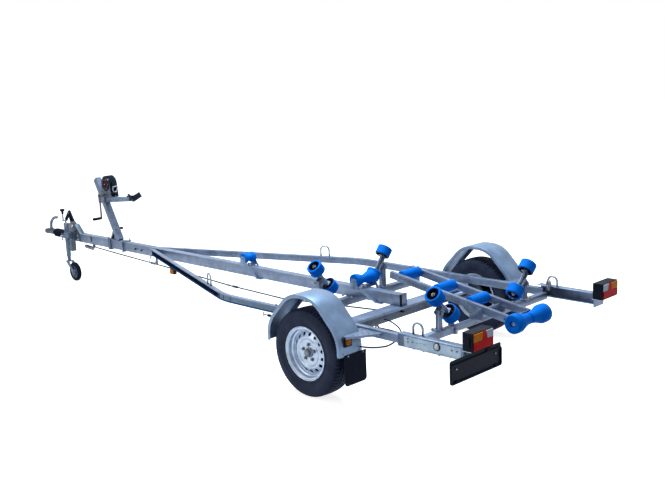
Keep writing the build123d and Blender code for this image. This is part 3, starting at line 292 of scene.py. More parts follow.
# ---- mesh building -------------------------------------------------------------------
class Piece:
    """A piece of the scene: its mesh is gathered here, then it rides on one body."""

    def __init__(self, name, *materials):
        self.name = name
        self.materials = materials
        self.mesh = bmesh.new()

    def faces(self, rings, closed_ring=True, closed_way=False, slot=0, caps=False):
        """Quads between rings of points; each ring has as many points as the next."""
        made = [[self.mesh.verts.new(point) for point in ring] for ring in rings]
        count = len(made[0])
        pairs = list(zip(made, made[1:]))
        if closed_way:
            pairs.append((made[-1], made[0]))
        last = count if closed_ring else count - 1
        for first, second in pairs:
            for index in range(last):
                after = (index + 1) % count
                face = self.mesh.faces.new((first[index], first[after], second[after], second[index]))
                face.material_index = slot
        if caps:
            for ring in (made[0][::-1], made[-1]):
                face = self.mesh.faces.new(ring)
                face.material_index = slot

    def lathe(self, profile, origin, axis, steps=72, slot=0, closed=True, slots=None):
        """A form turned about an axis from (radius, along) points."""
        axis = Vector(axis).normalized()
        start = len(self.mesh.verts)
        rings = [[self.mesh.verts.new(origin + out * r + axis * a) for r, a in profile]
                 for out in rays(axis, steps)]
        count = len(profile)
        last = count if closed else count - 1
        for step in range(steps):
            here, there = rings[step], rings[(step + 1) % steps]
            for index in range(last):
                after = (index + 1) % count
                corners = (here[index], here[after], there[after], there[index])
                face = self.mesh.faces.new(corners)
                face.material_index = slots[index] if slots else slot
        self.mesh.verts.ensure_lookup_table()
        seam = [vert for vert in self.mesh.verts[start:]
                if (vert.co - origin).cross(axis).length < 1e-6]
        bmesh.ops.remove_doubles(self.mesh, verts=seam, dist=1e-6)

    def rod(self, start, end, radius, steps=24, slot=0, bore=0.0):
        """A round bar between two points, or a tube with a bore."""
        start, end = Vector(start), Vector(end)
        length = (end - start).length
        profile = [(bore, 0), (radius, 0), (radius, length), (bore, length)]
        self.lathe(profile, start, end - start, steps, slot, closed=bore > 0)

    def box(self, corner, far, slot=0, turn=None):
        """A box between two corners, in the row frame or under a turn matrix."""
        lowest = [min(a, b) for a, b in zip(corner, far)]
        highest = [max(a, b) for a, b in zip(corner, far)]
        size = [b - a for a, b in zip(lowest, highest)]
        centre = [(a + b) / 2 for a, b in zip(lowest, highest)]
        place = Matrix.Translation(centre) @ Matrix.Diagonal((*size, 1))
        if turn:
            place = turn @ place
        made = bmesh.ops.create_cube(self.mesh, size=1, matrix=place)
        for face in {face for vert in made["verts"] for face in vert.link_faces}:
            face.material_index = slot

    def prism(self, outline, place, thickness, slot=0):
        """An outline in the XY plane of a matrix, thick along its Z."""
        bottom = [self.mesh.verts.new(place @ Vector((x, y, 0))) for x, y in outline]
        top = [self.mesh.verts.new(place @ Vector((x, y, thickness))) for x, y in outline]
        made = [self.mesh.faces.new(bottom[::-1]), self.mesh.faces.new(top)]
        count = len(outline)
        for index in range(count):
            after = (index + 1) % count
            made.append(self.mesh.faces.new((bottom[index], bottom[after], top[after], top[index])))
        for face in made:
            face.material_index = slot

    def bolt(self, place, normal, across=0.017, height=0.009, slot=0, washer=True):
        """A hexagon head with a washer under it, sitting on a face."""
        normal = Vector(normal).normalized()
        radius = across / math.sqrt(3)
        base = Vector(place)
        if washer:
            self.lathe([(0, 0), (radius * 1.35, 0), (radius * 1.35, 0.002), (0, 0.002)], base, normal, 20,
                       slot, closed=False)
            base = base + normal * 0.002
        rings = []
        for scale, up in ((1.0, 0.0), (1.0, height * 0.86), (0.86, height)):
            rings.append([base + out * radius * scale + normal * up for out in rays(normal, 6)])
        self.faces(rings, slot=slot, caps=True)

    def tube(self, points, radius, steps=12, slot=0, closed=False, ends=True):
        """A round bar that follows a row of points."""
        points = [Vector(point) for point in points]
        count = len(points)
        ways = []
        for index in range(count):
            before = points[index - 1] if index or closed else points[0]
            after = points[(index + 1) % count] if index + 1 < count or closed else points[-1]
            ways.append((after - before).normalized())
        side = ways[0].orthogonal().normalized()
        rings = []
        for point, way in zip(points, ways):
            side = (side - way * side.dot(way)).normalized()
            other = way.cross(side)
            ring = []
            for step in range(steps):
                angle = 2 * math.pi * step / steps
                ring.append(point + (side * math.cos(angle) + other * math.sin(angle)) * radius)
            rings.append(ring)
        self.faces(rings, closed_way=closed, slot=slot, caps=ends and not closed)

    def done(self, body, replaces=(), smooth=38.0, bevel=0.0, segments=2):
        """Makes the object, shades it and sets it on its body."""
        bmesh.ops.recalc_face_normals(self.mesh, faces=self.mesh.faces)
        data = bpy.data.meshes.new(self.name)
        self.mesh.to_mesh(data)
        self.mesh.free()
        for material in self.materials:
            data.materials.append(material)
        piece = bpy.data.objects.new(self.name, data)
        scene.collection.objects.link(piece)
        data.shade_smooth()
        data.set_sharp_from_angle(angle=math.radians(smooth))
        if bevel:
            add_bevel(piece, bevel, segments)
        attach(piece, body)
        if replaces:
            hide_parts(*replaces)
        return piece


def rays(axis, count):
    """Unit vectors spread evenly round an axis."""
    side = axis.orthogonal().normalized()
    other = axis.cross(side)
    for step in range(count):
        angle = 2 * math.pi * step / count
        yield side * math.cos(angle) + other * math.sin(angle)


def metres(path):
    """A 2-D path in millimetres as pairs in metres."""
    return [(spot.x / 1000, spot.y / 1000) for spot in path]


def add_bevel(piece, width, segments=2):
    """Rounds the sharp edges of a piece a little."""
    bevel = piece.modifiers.new("edges", "BEVEL")
    bevel.width = width
    bevel.segments = segments
    bevel.limit_method = "ANGLE"
    bevel.angle_limit = math.radians(40)
    bevel.harden_normals = True


def arc(centre, radius, start, end, steps):
    """Points on an arc in a plane, angles in degrees."""
    points = []
    for step in range(steps + 1):
        angle = math.radians(start + (end - start) * step / steps)
        points.append((centre[0] + radius * math.cos(angle), centre[1] + radius * math.sin(angle)))
    return points


def rounded(points, radius, steps=6):
    """An open 2-D path with its inner corners rounded."""
    out = [points[0]]
    for before, here, after in zip(points, points[1:], points[2:]):
        here_v, before_v, after_v = Vector(here), Vector(before), Vector(after)
        back, ahead = before_v - here_v, after_v - here_v
        cut = min(radius, back.length * 0.48, ahead.length * 0.48)
        start, end = here_v + back.normalized() * cut, here_v + ahead.normalized() * cut
        for step in range(steps + 1):
            share = step / steps
            spot = start.lerp(here_v, share).lerp(here_v.lerp(end, share), share)
            out.append(tuple(spot))
    out.append(points[-1])
    return out


def smooth_path(points, radius, steps=6):
    """An open 3-D path with its inner corners rounded."""
    return [Vector(point) for point in rounded([tuple(point) for point in points], radius, steps)]


def basis(origin, x_way, y_way):
    """A matrix from an origin and two directions."""
    x_way, y_way = Vector(x_way).normalized(), Vector(y_way).normalized()
    z_way = x_way.cross(y_way)
    return Matrix.Translation(origin) @ Matrix((x_way, y_way, z_way)).transposed().to_4x4()


# ---- the CAD pieces that stay --------------------------------------------------------
# node prefix, material, bevel width; nodes that a piece below stands for need no row
CAD_FINISH = (
    ("keel_beam", STEEL, 0.004),
    ("side_rail", STEEL, 0.004),
    ("front_crossmember", STEEL, 0.003),
    ("rear_crossmember", STEEL, 0.002),
    ("axle_carrier", STEEL, 0.002),
    ("axle", CAST, 0.003),
    ("front_posts", STEEL, 0.002),
    ("rear_posts", STEEL, 0.002),
    ("rocker", STEEL, 0.001),
    ("ladder", STEEL, 0.002),
    ("guard_brackets", SHEET, 0.001),
    ("light_arms", STEEL, 0.001),
    ("winch_post", STEEL, 0.003),
    ("beam_clamps", STEEL, 0.001),
    ("keel_roller_brackets", SHEET, 0.001),
    ("tie_down_loops", BRIGHT, 0.0),
    ("brake_rod", ROD_STEEL, 0.0),
    ("leads", BLACK, 0.0),
    ("jockey_leg", TUBE_STEEL, 0.0),
    ("jockey_fork", TUBE_STEEL, 0.001),
    ("overrun_housing", CAST, 0.004),
    ("bow_stop", BLACK, 0.004),
)


# how far zinc or a sleeve stands off these thin bars and leads
COATING = {"tie_down_loops": 0.0020, "brake_rod": 0.0022, "leads": 0.0025}


def finish_cad_nodes():
    """Gives each CAD node that stays its material, smooth shading, rounded edges and coating."""
    for node, piece in nodes.items():
        matches = [row for row in CAD_FINISH if node.startswith(row[0])]
        if not matches:
            continue
        _, material, width = max(matches, key=lambda row: len(row[0]))
        piece.data.materials.clear()
        piece.data.materials.append(material)
        piece.data.shade_smooth()
        piece.data.set_sharp_from_angle(angle=math.radians(32))
        if width or node in COATING:
            weld = piece.modifiers.new("weld", "WELD")
            weld.merge_threshold = 1e-5
        if width:
            add_bevel(piece, width)
        if node in COATING:
            coat = piece.modifiers.new("coating", "DISPLACE")
            coat.strength = COATING[node]
            coat.mid_level = 0.0


# ---- wheels --------------------------------------------------------------------------
TREAD_PITCHES = 66
GROOVE_HALF = 0.0038
GROOVE_DEPTH = 0.007
SIPE_DEPTH = 0.0055


def tyre_profile():
    """Half of the outer surface as (along, radius, kind), from the bead to the middle."""
    wall = [(0.0768, 0.1790), (0.0772, 0.1900), (0.0782, 0.1966), (0.0835, 0.1985), (0.0870, 0.2015),
            (0.0886, 0.2070), (0.0880, 0.2130), (0.0868, 0.2155), (0.0880, 0.2190), (0.0902, 0.2300),
            (0.0922, 0.2450), (0.0929, 0.2600), (0.0922, 0.2720), (0.0908, 0.2760), (0.0912, 0.2790),
            (0.0890, 0.2880), (0.0868, 0.2925), (0.0856, 0.2950)]
    shoulder = [(0.0835, 0.3000), (0.0790, 0.3065), (0.0730, 0.3115), (0.0660, 0.3145), (0.0560, 0.3160)]
    rows = [(a, r, "wall") for a, r in wall] + [(a, r, "shoulder") for a, r in shoulder]
    for centre, kind in ((0.046, "rib"), (0.017, "rib")):
        crown = 0.318 - 0.9 * centre * centre
        rows.append((centre + GROOVE_HALF + 0.0012, crown, "shoulder" if centre > 0.03 else "rib"))
        rows.append((centre + GROOVE_HALF, crown - GROOVE_DEPTH, "groove"))
        rows.append((centre - GROOVE_HALF, crown - GROOVE_DEPTH, "groove"))
        rows.append((centre - GROOVE_HALF - 0.0012, crown, kind))
    rows.append((0.0065, 0.318, "rib"))
    return rows


def tyre(side, name):
    """A road tyre with grooves round the tread and cuts across its ribs and shoulders."""
    centre, _ = pin(f"wheel_{name}_spin")
    half = tyre_profile()
    rows = half + [(-a, r, kind) for a, r, kind in half[::-1]]
    # share of one pitch, cut depth across the shoulder, cut depth across the ribs
    phases = ((0.00, 0, 0), (0.38, 0, 0), (0.44, 0, 1), (0.52, 0, 1), (0.58, 0, 0), (0.72, 0, 0),
              (0.77, 1, 0), (0.95, 1, 0))
    piece = Piece(f"tyre_{name}_tread", TYRE)
    rings = []
    for pitch in range(TREAD_PITCHES):
        for share, shoulder_cut, rib_cut in phases:
            ring = []
            for along, radius, kind in rows:
                lean = 0.35 * along / 0.318 * (1 if kind == "rib" else 0)
                angle = 2 * math.pi * (pitch + share) / TREAD_PITCHES + lean
                if kind == "shoulder" and shoulder_cut and radius > 0.3:
                    radius -= SIPE_DEPTH
                if kind == "rib" and rib_cut:
                    radius -= SIPE_DEPTH * 0.7
                ring.append(centre + Vector((radius * math.cos(angle), side * along,
                                             radius * math.sin(angle))))
            inside = [(rows[-1][0], 0.1786), (rows[0][0], 0.1786)]
            angle = 2 * math.pi * (pitch + share) / TREAD_PITCHES
            for along, radius in inside:
                ring.append(centre + Vector((radius * math.cos(angle), side * along,
                                             radius * math.sin(angle))))
            rings.append(ring)
    piece.faces(rings, closed_way=True)
    piece.done(f"wheel_{name}", replaces=(f"tyre_{name}",), smooth=30)


WHEEL_HOLES = 15
HOLE_RING = 0.134
HOLE_R = 0.0125
RIM_PROFILE = (
    (0.1950, 0.0862), (0.1935, 0.0872), (0.1905, 0.0872), (0.1880, 0.0852), (0.1850, 0.0800),
    (0.1790, 0.0770), (0.1750, 0.0740), (0.1735, 0.0680), (0.1725, 0.0560), (0.1700, 0.0500),
    (0.1640, 0.0470), (0.1600, 0.0430), (0.1585, 0.0330), (0.1580, 0.0240),
)
DISC_PROFILE = ((0.1580, 0.0300), (0.1555, 0.0288), (0.1510, 0.0302), (0.1470, 0.0335), (0.1420, 0.0372),
                (0.1260, 0.0468), (0.1200, 0.0502), (0.1150, 0.0528), (0.1100, 0.0538), (0.1050, 0.0528),
                (0.1010, 0.0500), (0.0970, 0.0456), (0.0920, 0.0424), (0.0860, 0.0408), (0.0780, 0.0404),
                (0.0700, 0.0410), (0.0640, 0.0428), (0.0500, 0.0440), (0.0430, 0.0436), (0.0400, 0.0425),
                (0.0360, 0.0425))


def holed_disc(piece, centre, side):
    """The disc's outer band from the well to the ridge with its ring of round holes."""
    inner, outer = 0.1180, 0.1500
    around = 24
    for hole in range(WHEEL_HOLES):
        middle = 2 * math.pi * hole / WHEEL_HOLES
        half = math.pi / WHEEL_HOLES
        edge, rim = [], []
        for step in range(around):
            angle = 2 * math.pi * step / around
            edge.append((HOLE_RING + HOLE_R * math.cos(angle),
                         middle + HOLE_R * math.sin(angle) / HOLE_RING))
            spot_x, spot_y = math.cos(angle), math.sin(angle)
            grow = 1 / max(abs(spot_x), abs(spot_y))
            reach = (outer - inner) / 2
            rim.append(((outer + inner) / 2 + reach * spot_x * grow, middle + half * spot_y * grow))

        def spot(place, sink=0.0):
            radius, angle = place
            along = disc_height(radius) - sink
            return centre + Vector((radius * math.cos(angle), side * along, radius * math.sin(angle)))

        between = [((a[0] * 0.7 + b[0] * 0.3), (a[1] * 0.7 + b[1] * 0.3)) for a, b in zip(edge, rim)]
        lip = [((a[0] * 0.93 + b[0] * 0.07), (a[1] * 0.93 + b[1] * 0.07)) for a, b in zip(edge, rim)]
        rings = [[spot(place) for place in rim], [spot(place) for place in between],
                 [spot(place) for place in lip], [spot(place, 0.0016) for place in edge],
                 [spot(place, 0.0060) for place in edge]]
        piece.faces(rings)


def disc_height(radius):
    """How far out the wheel disc's face lies at a radius."""
    rows = DISC_PROFILE
    for (r0, a0), (r1, a1) in zip(rows, rows[1:]):
        if r1 <= radius <= r0:
            return a1 + (a0 - a1) * (radius - r1) / (r0 - r1)
    return rows[-1][1]


def wheel(side, name):
    """The pressed steel wheel: rim, vented disc, bolts, cap and the drum behind."""
    centre, _ = pin(f"wheel_{name}_spin")
    out = Vector((0, side, 0))
    piece = Piece(f"wheel_{name}_pressed", SILVER, DULL, BLACK)
    barrel = [(0.1540, 0.0240), (0.1540, -0.0200), (0.1640, -0.0400), (0.1720, -0.0560), (0.1740, -0.0740),
              (0.1880, -0.0852), (0.1905, -0.0872), (0.1950, -0.0862), (0.1950, -0.0812), (0.1788, -0.0795),
              (0.1776, -0.0600), (0.1680, -0.0400), (0.1580, -0.0200), (0.1580, 0.0180), (0.1640, 0.0420),
              (0.1720, 0.0500), (0.1776, 0.0600), (0.1788, 0.0795), (0.1950, 0.0812)]
    piece.lathe(list(RIM_PROFILE) + barrel, centre, out, 120)
    outer_band = [row for row in DISC_PROFILE if row[0] >= 0.1500]
    inner_band = [row for row in DISC_PROFILE if row[0] <= 0.1180]
    outer_band.append((0.1500, disc_height(0.1500)))
    inner_band.insert(0, (0.1180, disc_height(0.1180)))
    piece.lathe(outer_band, centre, out, 120, closed=False)
    piece.lathe(inner_band, centre, out, 120, closed=False)
    holed_disc(piece, centre, side)
    # a black sheet just behind the disc: painted shade seen through the holes and in the wells
    piece.lathe([(0.1540, 0.016), (0.1500, 0.018), (0.146, 0.020), (0.122, 0.036), (0.110, 0.042),
                 (0.098, 0.038), (0.084, 0.034), (0.036, 0.034)], centre, out, 96, slot=2, closed=False)
    cap = [(0.0, 0.0735), (0.010, 0.0732), (0.020, 0.0715), (0.0245, 0.0680), (0.0262, 0.0640),
           (0.0262, 0.0500), (0.0300, 0.0480), (0.0335, 0.0470), (0.0345, 0.0380)]
    piece.lathe(cap, centre, out, 60, slot=1, closed=False)
    for bolt in range(5):
        angle = 2 * math.pi * (bolt + 0.25) / 5
        spot = centre + Vector((0.056 * math.cos(angle), side * 0.0438, 0.056 * math.sin(angle)))
        piece.lathe([(0.0, 0.0), (0.0135, 0.0), (0.0120, 0.004), (0.0105, 0.0045)], spot, out, 24, slot=1,
                    closed=False)
        piece.bolt(spot + out * 0.003, out, 0.018, 0.012, slot=1, washer=False)
    piece.lathe([(0.040, -0.034), (0.118, -0.034), (0.118, 0.020), (0.110, 0.028), (0.040, 0.030)], centre,
                out, 72, slot=2)
    valve = centre + Vector((0.150 * math.cos(2.2), side * 0.032, 0.150 * math.sin(2.2)))
    piece.rod(valve, valve + out * 0.030 - Vector((0.004 * math.cos(2.2), 0, 0.004 * math.sin(2.2))),
              0.0045, 12, slot=2)
    piece.done(f"wheel_{name}", replaces=(f"wheel_{name}",), smooth=32)


# ---- rollers -------------------------------------------------------------------------
def roller_skin(radius, half, edge, ribs, depth):
    """The outer tread of a moulded roller from one face to the other, with fine ribs."""
    rows = [(radius - edge, -half), (radius - edge * 0.45, -half + edge * 0.12),
            (radius - edge * 0.12, -half + edge * 0.45), (radius, -half + edge)]
    width = 2 * (half - edge)
    for rib in range(ribs):
        start = -half + edge + width * rib / ribs
        step = width / ribs
        rows += [(radius, start + step * 0.30), (radius - depth, start + step * 0.45),
                 (radius - depth, start + step * 0.85), (radius, start + step)]
    rows += [(radius - edge * 0.12, half - edge * 0.45), (radius - edge * 0.45, half - edge * 0.12),
             (radius - edge, half)]
    return rows


def wobble_rollers():
    """The blue rollers of the rocking pairs with their hollow black hubs."""
    for place in ("front", "rear"):
        for name, _ in SIDES:
            for end, reach in (("outer", 1), ("inner", -1)):
                node = f"roller_{place}_{name}_{end}"
                centre, axis = pin(f"{node}_spin")
                out = axis * reach
                half = 0.038
                piece = Piece(f"{node}_moulded", BLUE, BLACK)
                skin = roller_skin(0.062, half, 0.007, 9, 0.0005)
                skin += [(0.0475, half), (0.0455, half - 0.002), (0.0450, half - 0.006)]
                piece.lathe(skin, centre, out, 72, closed=False)
                cup = [(0.0450, half - 0.006), (0.0448, half - 0.034), (0.0250, half - 0.036),
                       (0.0200, half - 0.034), (0.0185, half - 0.014), (0.0175, half - 0.012),
                       (0.0102, half - 0.012)]
                piece.lathe(cup, centre, out, 48, slot=1, closed=False)
                back = [(0.0550, -half), (0.0475, -half), (0.0455, -half + 0.002), (0.0450, -half + 0.006),
                        (0.0448, -half + 0.026), (0.0250, -half + 0.027), (0.0200, -half + 0.025),
                        (0.0185, -half + 0.014), (0.0102, -half + 0.012)]
                piece.lathe(back, centre, out, 48, slot=1, closed=False)
                for ray in rays(out, 6):
                    place_rib = basis(centre + ray * 0.0185 + out * (half - 0.035), ray, out)
                    piece.box((0, 0, -0.0016), (0.0268, 0.020, 0.0016), slot=1, turn=place_rib)
                piece.done(node, replaces=(node,), smooth=35)


def plain_rollers():
    """The ladder's straight rollers."""
    for place in ("front", "middle", "rear"):
        node = f"ladder_roller_{place}"
        centre, axis = pin(f"{node}_spin")
        half = (high(node).y - low(node).y) / 2
        radius = 0.0418
        rows = [(0.0082, -half), (radius - 0.012, -half)] + roller_skin(radius, half, 0.006, 16, 0.0004)
        rows += [(radius - 0.012, half), (0.0082, half)]
        piece = Piece(f"{node}_moulded", BLUE)
        piece.lathe(rows, centre, axis, 64)
        piece.done(node, replaces=(node,), smooth=35)


def waisted_rollers():
    """The two keel rollers, waisted for the boat's keel."""
    for node, radius, waist in (("front_keel_roller", 0.048, 0.030), ("saddle_roller", 0.055, 0.034)):
        centre, axis = pin(f"{node}_spin")
        half = (high(node).y - low(node).y) / 2
        rows = [(0.0082, -half), (radius - 0.010, -half), (radius - 0.003, -half + 0.002),
                (radius, -half + 0.006), (radius, -half + 0.020)]
        steps = 18
        for step in range(steps + 1):
            share = -1 + 2 * step / steps
            rows.append((waist + (radius - 0.001 - waist) * (0.5 - 0.5 * math.cos(math.pi * share)),
                         share * (half - 0.022)))
        rows += [(radius, half - 0.020), (radius, half - 0.006), (radius - 0.003, half - 0.002),
                 (radius - 0.010, half), (0.0082, half)]
        piece = Piece(f"{node}_moulded", BLUE)
        piece.lathe(rows, centre, axis, 72)
        piece.done(node, replaces=(node,), smooth=35)


def bumper_roller():
    """The waisted roller at the ladder's rear end, in two halves."""
    node = "bumper_rollers"
    centre, axis = pin(f"{node}_spin")
    half = (high(node).y - low(node).y) / 2
    piece = Piece("bumper_rollers_moulded", BLUE, BLACK)
    for side in (1, -1):
        rows = [(0.0082, 0.005), (0.037, 0.005), (0.040, 0.009)]
        steps = 16
        for step in range(steps + 1):
            share = step / steps
            rows.append((0.040 + 0.0275 * share ** 1.7, 0.012 + 0.122 * share))
        rows += [(0.0678, 0.142), (0.0680, 0.150), (0.0680, half - 0.016), (0.0668, half - 0.008),
                 (0.0635, half - 0.003), (0.0560, half - 0.0005), (0.0500, half), (0.0300, half - 0.002),
                 (0.0240, half - 0.004), (0.0215, half - 0.008), (0.0210, half - 0.026),
                 (0.0082, half - 0.027)]
        piece.lathe(rows, centre, axis * side, 80)
    piece.done(node, replaces=(node,), smooth=35)


# ---- places on the trailer -----------------------------------------------------------
AXLE_BACK = 2095.0      # millimetres from the row origin back to the axle frame's origin


def at(x, y, z):
    """A place in millimetres: x ahead of the axle frame's origin, y to the left, z up."""
    return Vector(((x - AXLE_BACK) / 1000, y / 1000, z / 1000))


def fillet_path(points, radius, steps=10):
    """An open 2-D path whose corners are true arcs of one radius."""
    out = [Vector(points[0])]
    for before, here, after in zip(points, points[1:], points[2:]):
        here = Vector(here)
        come, leave = (here - Vector(before)).normalized(), (Vector(after) - here).normalized()
        turn = math.atan2(come.x * leave.y - come.y * leave.x, come.dot(leave))
        start = here - come * radius * math.tan(abs(turn) / 2)
        centre = start + Vector((-come.y, come.x)) * math.copysign(radius, turn)
        arm = start - centre
        for step in range(steps + 1):
            angle = turn * step / steps
            spun = Vector((arm.x * math.cos(angle) - arm.y * math.sin(angle),
                           arm.x * math.sin(angle) + arm.y * math.cos(angle)))
            out.append(centre + spun)
    out.append(Vector(points[-1]))
    return out


def shifted(path, distance):
    """A 2-D path moved sideways to the left of its own direction."""
    out = []
    for index, here in enumerate(path):
        before, after = path[max(index - 1, 0)], path[min(index + 1, len(path) - 1)]
        way = (after - before).normalized()
        out.append(here + Vector((-way.y, way.x)) * distance)
    return out


# ---- mudguards, flaps and side lamps -------------------------------------------------
GUARD_OUTER = 1100.0
GUARD_INNER = 880.0
GUARD_HALF = 362.0
GUARD_POINTS = ((362, 366), (362, 502), (128, 747), (-128, 747), (-362, 502), (-362, 366))
GUARD_BEND = 240.0
# distance from the guard's inner edge, distance below its face
GUARD_SECTION = ((0, 24), (0, 5), (1.5, 1.5), (5, 0), (215, 0), (218.5, 1.5), (220, 5), (220, 24),
                 (218.4, 24), (218.4, 6), (214, 1.8), (6, 1.8), (1.6, 6), (1.6, 24))


def mudguards():
    """Sheet mudguards with wide round bends and a turned-down flange with a rolled edge."""
    path = dense(fillet_path(GUARD_POINTS, GUARD_BEND, 14))
    layers = {depth: shifted(path, depth) for depth in {depth for _, depth in GUARD_SECTION} | {23}}
    for name, side in SIDES:
        piece = Piece(f"mudguard_{name}_pressed", SHEET, BRIGHT)
        rings = []
        for index in range(len(path)):
            rings.append([at(layers[depth][index].x, side * (GUARD_INNER + across), layers[depth][index].y)
                          for across, depth in GUARD_SECTION])
        piece.faces(rings, caps=True)
        # the rolled edge is real; its brighter plated material on the same sheet is a painted highlight
        for y in (GUARD_OUTER - 4, GUARD_INNER + 4):
            piece.tube([at(spot.x, side * y, spot.y) for spot in layers[23]], 0.0038, 10, slot=1)
        for y, z in ((905, 385), (1062, 385), (905, 462)):
            piece.bolt(at(-GUARD_HALF, side * y, z), -X_AXIS, 0.010, 0.005, slot=1)
        piece.done("chassis", replaces=(f"mudguard_{name}",), smooth=30)


def guard_shelves():
    """The punched shelf behind each mudguard, level with the rail, with its turned-down rear edge."""
    top = 503.0
    outline = [(-300, 822), (-300, 880), (-342, 880), (-342, 1046), (-374, 1046), (-498, 850), (-498, 822)]
    for name, side in SIDES:
        piece = Piece(f"guard_shelf_{name}", STEEL, BLACK)
        place = basis(at(0, 0, top - 2.5), X_AXIS, Y_AXIS)
        piece.prism([(x / 1000, side * y / 1000) for x, y in outline], place, 0.0025)
        edge = [(-342, 1046), (-374, 1046), (-498, 850)]
        inner = [(-342, 1043), (-372, 1043), (-495, 850)]
        rings = [[at(x, side * y, top - 16), at(x, side * y, top - 1), at(u, side * v, top - 1),
                  at(u, side * v, top - 16)] for (x, y), (u, v) in zip(edge, inner)]
        piece.faces(rings, caps=True)
        # the punched holes are thin black discs on the plate, not cut: painted shade
        for x, y in ((-385, 985), (-402, 955), (-420, 925), (-440, 892), (-462, 858), (-390, 905),
                     (-415, 870)):
            piece.rod(at(x, side * y, top - 0.4), at(x, side * y, top + 0.3), 0.0055, 14, slot=1)
        piece.done("chassis", smooth=30)


def mudflaps():
    """Flat rubber flaps with round lower corners, held by a strip and screws."""
    piece = Piece("mudflaps_moulded", RUBBER, BRIGHT)
    lowest, highest, corner = 156, 372, 26
    place = basis(at(-GUARD_HALF, 0, 0), Y_AXIS, Z_AXIS) @ Matrix.Translation((0, 0, -0.005))
    for _, side in SIDES:
        inner, outer = (side * y for y in (848, 1058))
        round_part = fillet_path([(outer, highest), (outer, lowest), (inner, lowest), (inner, highest)],
                                 corner, 8)
        piece.prism(metres(round_part), place, 0.005)
        piece.box(at(-GUARD_HALF - 7, inner, highest - 16), at(-GUARD_HALF - 5, outer, highest))
        for share in (0.15, 0.85):
            piece.bolt(at(-GUARD_HALF - 7, inner + (outer - inner) * share, highest - 8), -X_AXIS, 0.008,
                       0.003, slot=1)
    piece.done("chassis", replaces=("mudflaps",))


def marker_lamps():
    """Amber lamps in square black housings, and the one that hangs under the left rail."""
    piece = Piece("marker_lamps_dressed", AMBER_LENS, BLACK, RED_LENS)
    for _, side in SIDES:
        centre = at(-GUARD_HALF, side * 1022, 466)
        piece.box(centre + Vector((-0.012, -0.034, -0.034)), centre + Vector((0, 0.034, 0.034)), slot=1)
        piece.lathe([(0, 0.021), (0.014, 0.0205), (0.021, 0.018), (0.025, 0.014), (0.026, 0.010),
                     (0.026, 0.004), (0, 0.004)], centre, -X_AXIS, 40, closed=False)
    hung = at(2577, 315, 432)
    piece.box(hung + Vector((-0.030, -0.014, -0.030)), hung + Vector((0.030, 0.014, 0.020)), slot=1)
    piece.box(hung + Vector((-0.026, -0.020, -0.026)), hung + Vector((0.026, 0.024, 0.014)))
    piece.rod(hung + Vector((0, 0, 0.018)), hung + Vector((0, 0, 0.027)), 0.008, 16, slot=1)
    piece.done("chassis", replaces=("marker_lamps",), bevel=0.002)


# ---- tail lamps and plate ------------------------------------------------------------
LAMP_FACE = -1213.0
LAMP_Y, LAMP_W, LAMP_H, LAMP_BOTTOM = 772.0, 208.0, 118.0, 531.0
LENS_W, LENS_H = 0.196, 0.106


def tail_lamps():
    """Box lamps with red, amber and clear fields in a dark rim, on their bracket plates."""
    fields = (
        (2, ((0, 0), (LENS_W, 0), (LENS_W, 0.052), (0.112, 0.052), (0.100, LENS_H), (0.074, LENS_H),
             (0.062, 0.054), (0, 0.054))),
        (3, ((0.115, 0.055), (LENS_W, 0.055), (LENS_W, LENS_H), (0.103, LENS_H))),
        (1, ((0, 0.057), (0.059, 0.057), (0.071, LENS_H), (0, LENS_H))),
    )
    for name, side in SIDES:
        y = side * LAMP_Y
        piece = Piece(f"tail_lamp_{name}", BLACK, CLEAR_LENS, RED_LENS, AMBER_LENS, BRIGHT, ARM_SHEET)
        half = LAMP_W / 2
        piece.box(at(LAMP_FACE - 79, y - half, LAMP_BOTTOM), at(LAMP_FACE, y + half, LAMP_BOTTOM + LAMP_H))
        start = at(-1300 if side > 0 else -1292, side * (LAMP_Y - 98), LAMP_BOTTOM + 6)
        place = basis(start, Y_AXIS * side, Z_AXIS)
        for slot, outline in fields:
            piece.prism(outline, place, 0.008, slot)
        for u, v in ((0.014, 0.095), (LENS_W - 0.014, 0.012)):
            spot = place @ Vector((u, v, 0))
            piece.rod(spot, spot + X_AXIS * 0.002, 0.0035, 12, slot=4)
        outer = y + side * half
        piece.rod(at(LAMP_FACE - 40, outer, LAMP_BOTTOM + 66),
                  at(LAMP_FACE - 40, outer + side * 9, LAMP_BOTTOM + 66), 0.020, 24)
        piece.box(at(LAMP_FACE - 60, outer, LAMP_BOTTOM + 20),
                  at(LAMP_FACE - 12, outer + side * 5, LAMP_BOTTOM + 98))
        piece.box(at(LAMP_FACE - 70, y - half, LAMP_BOTTOM - 6),
                  at(LAMP_FACE + 6, y + half, LAMP_BOTTOM - 1), slot=5)
        piece.done("chassis", bevel=0.003,
                   replaces=("lamp_housings",) if side > 0 else ())


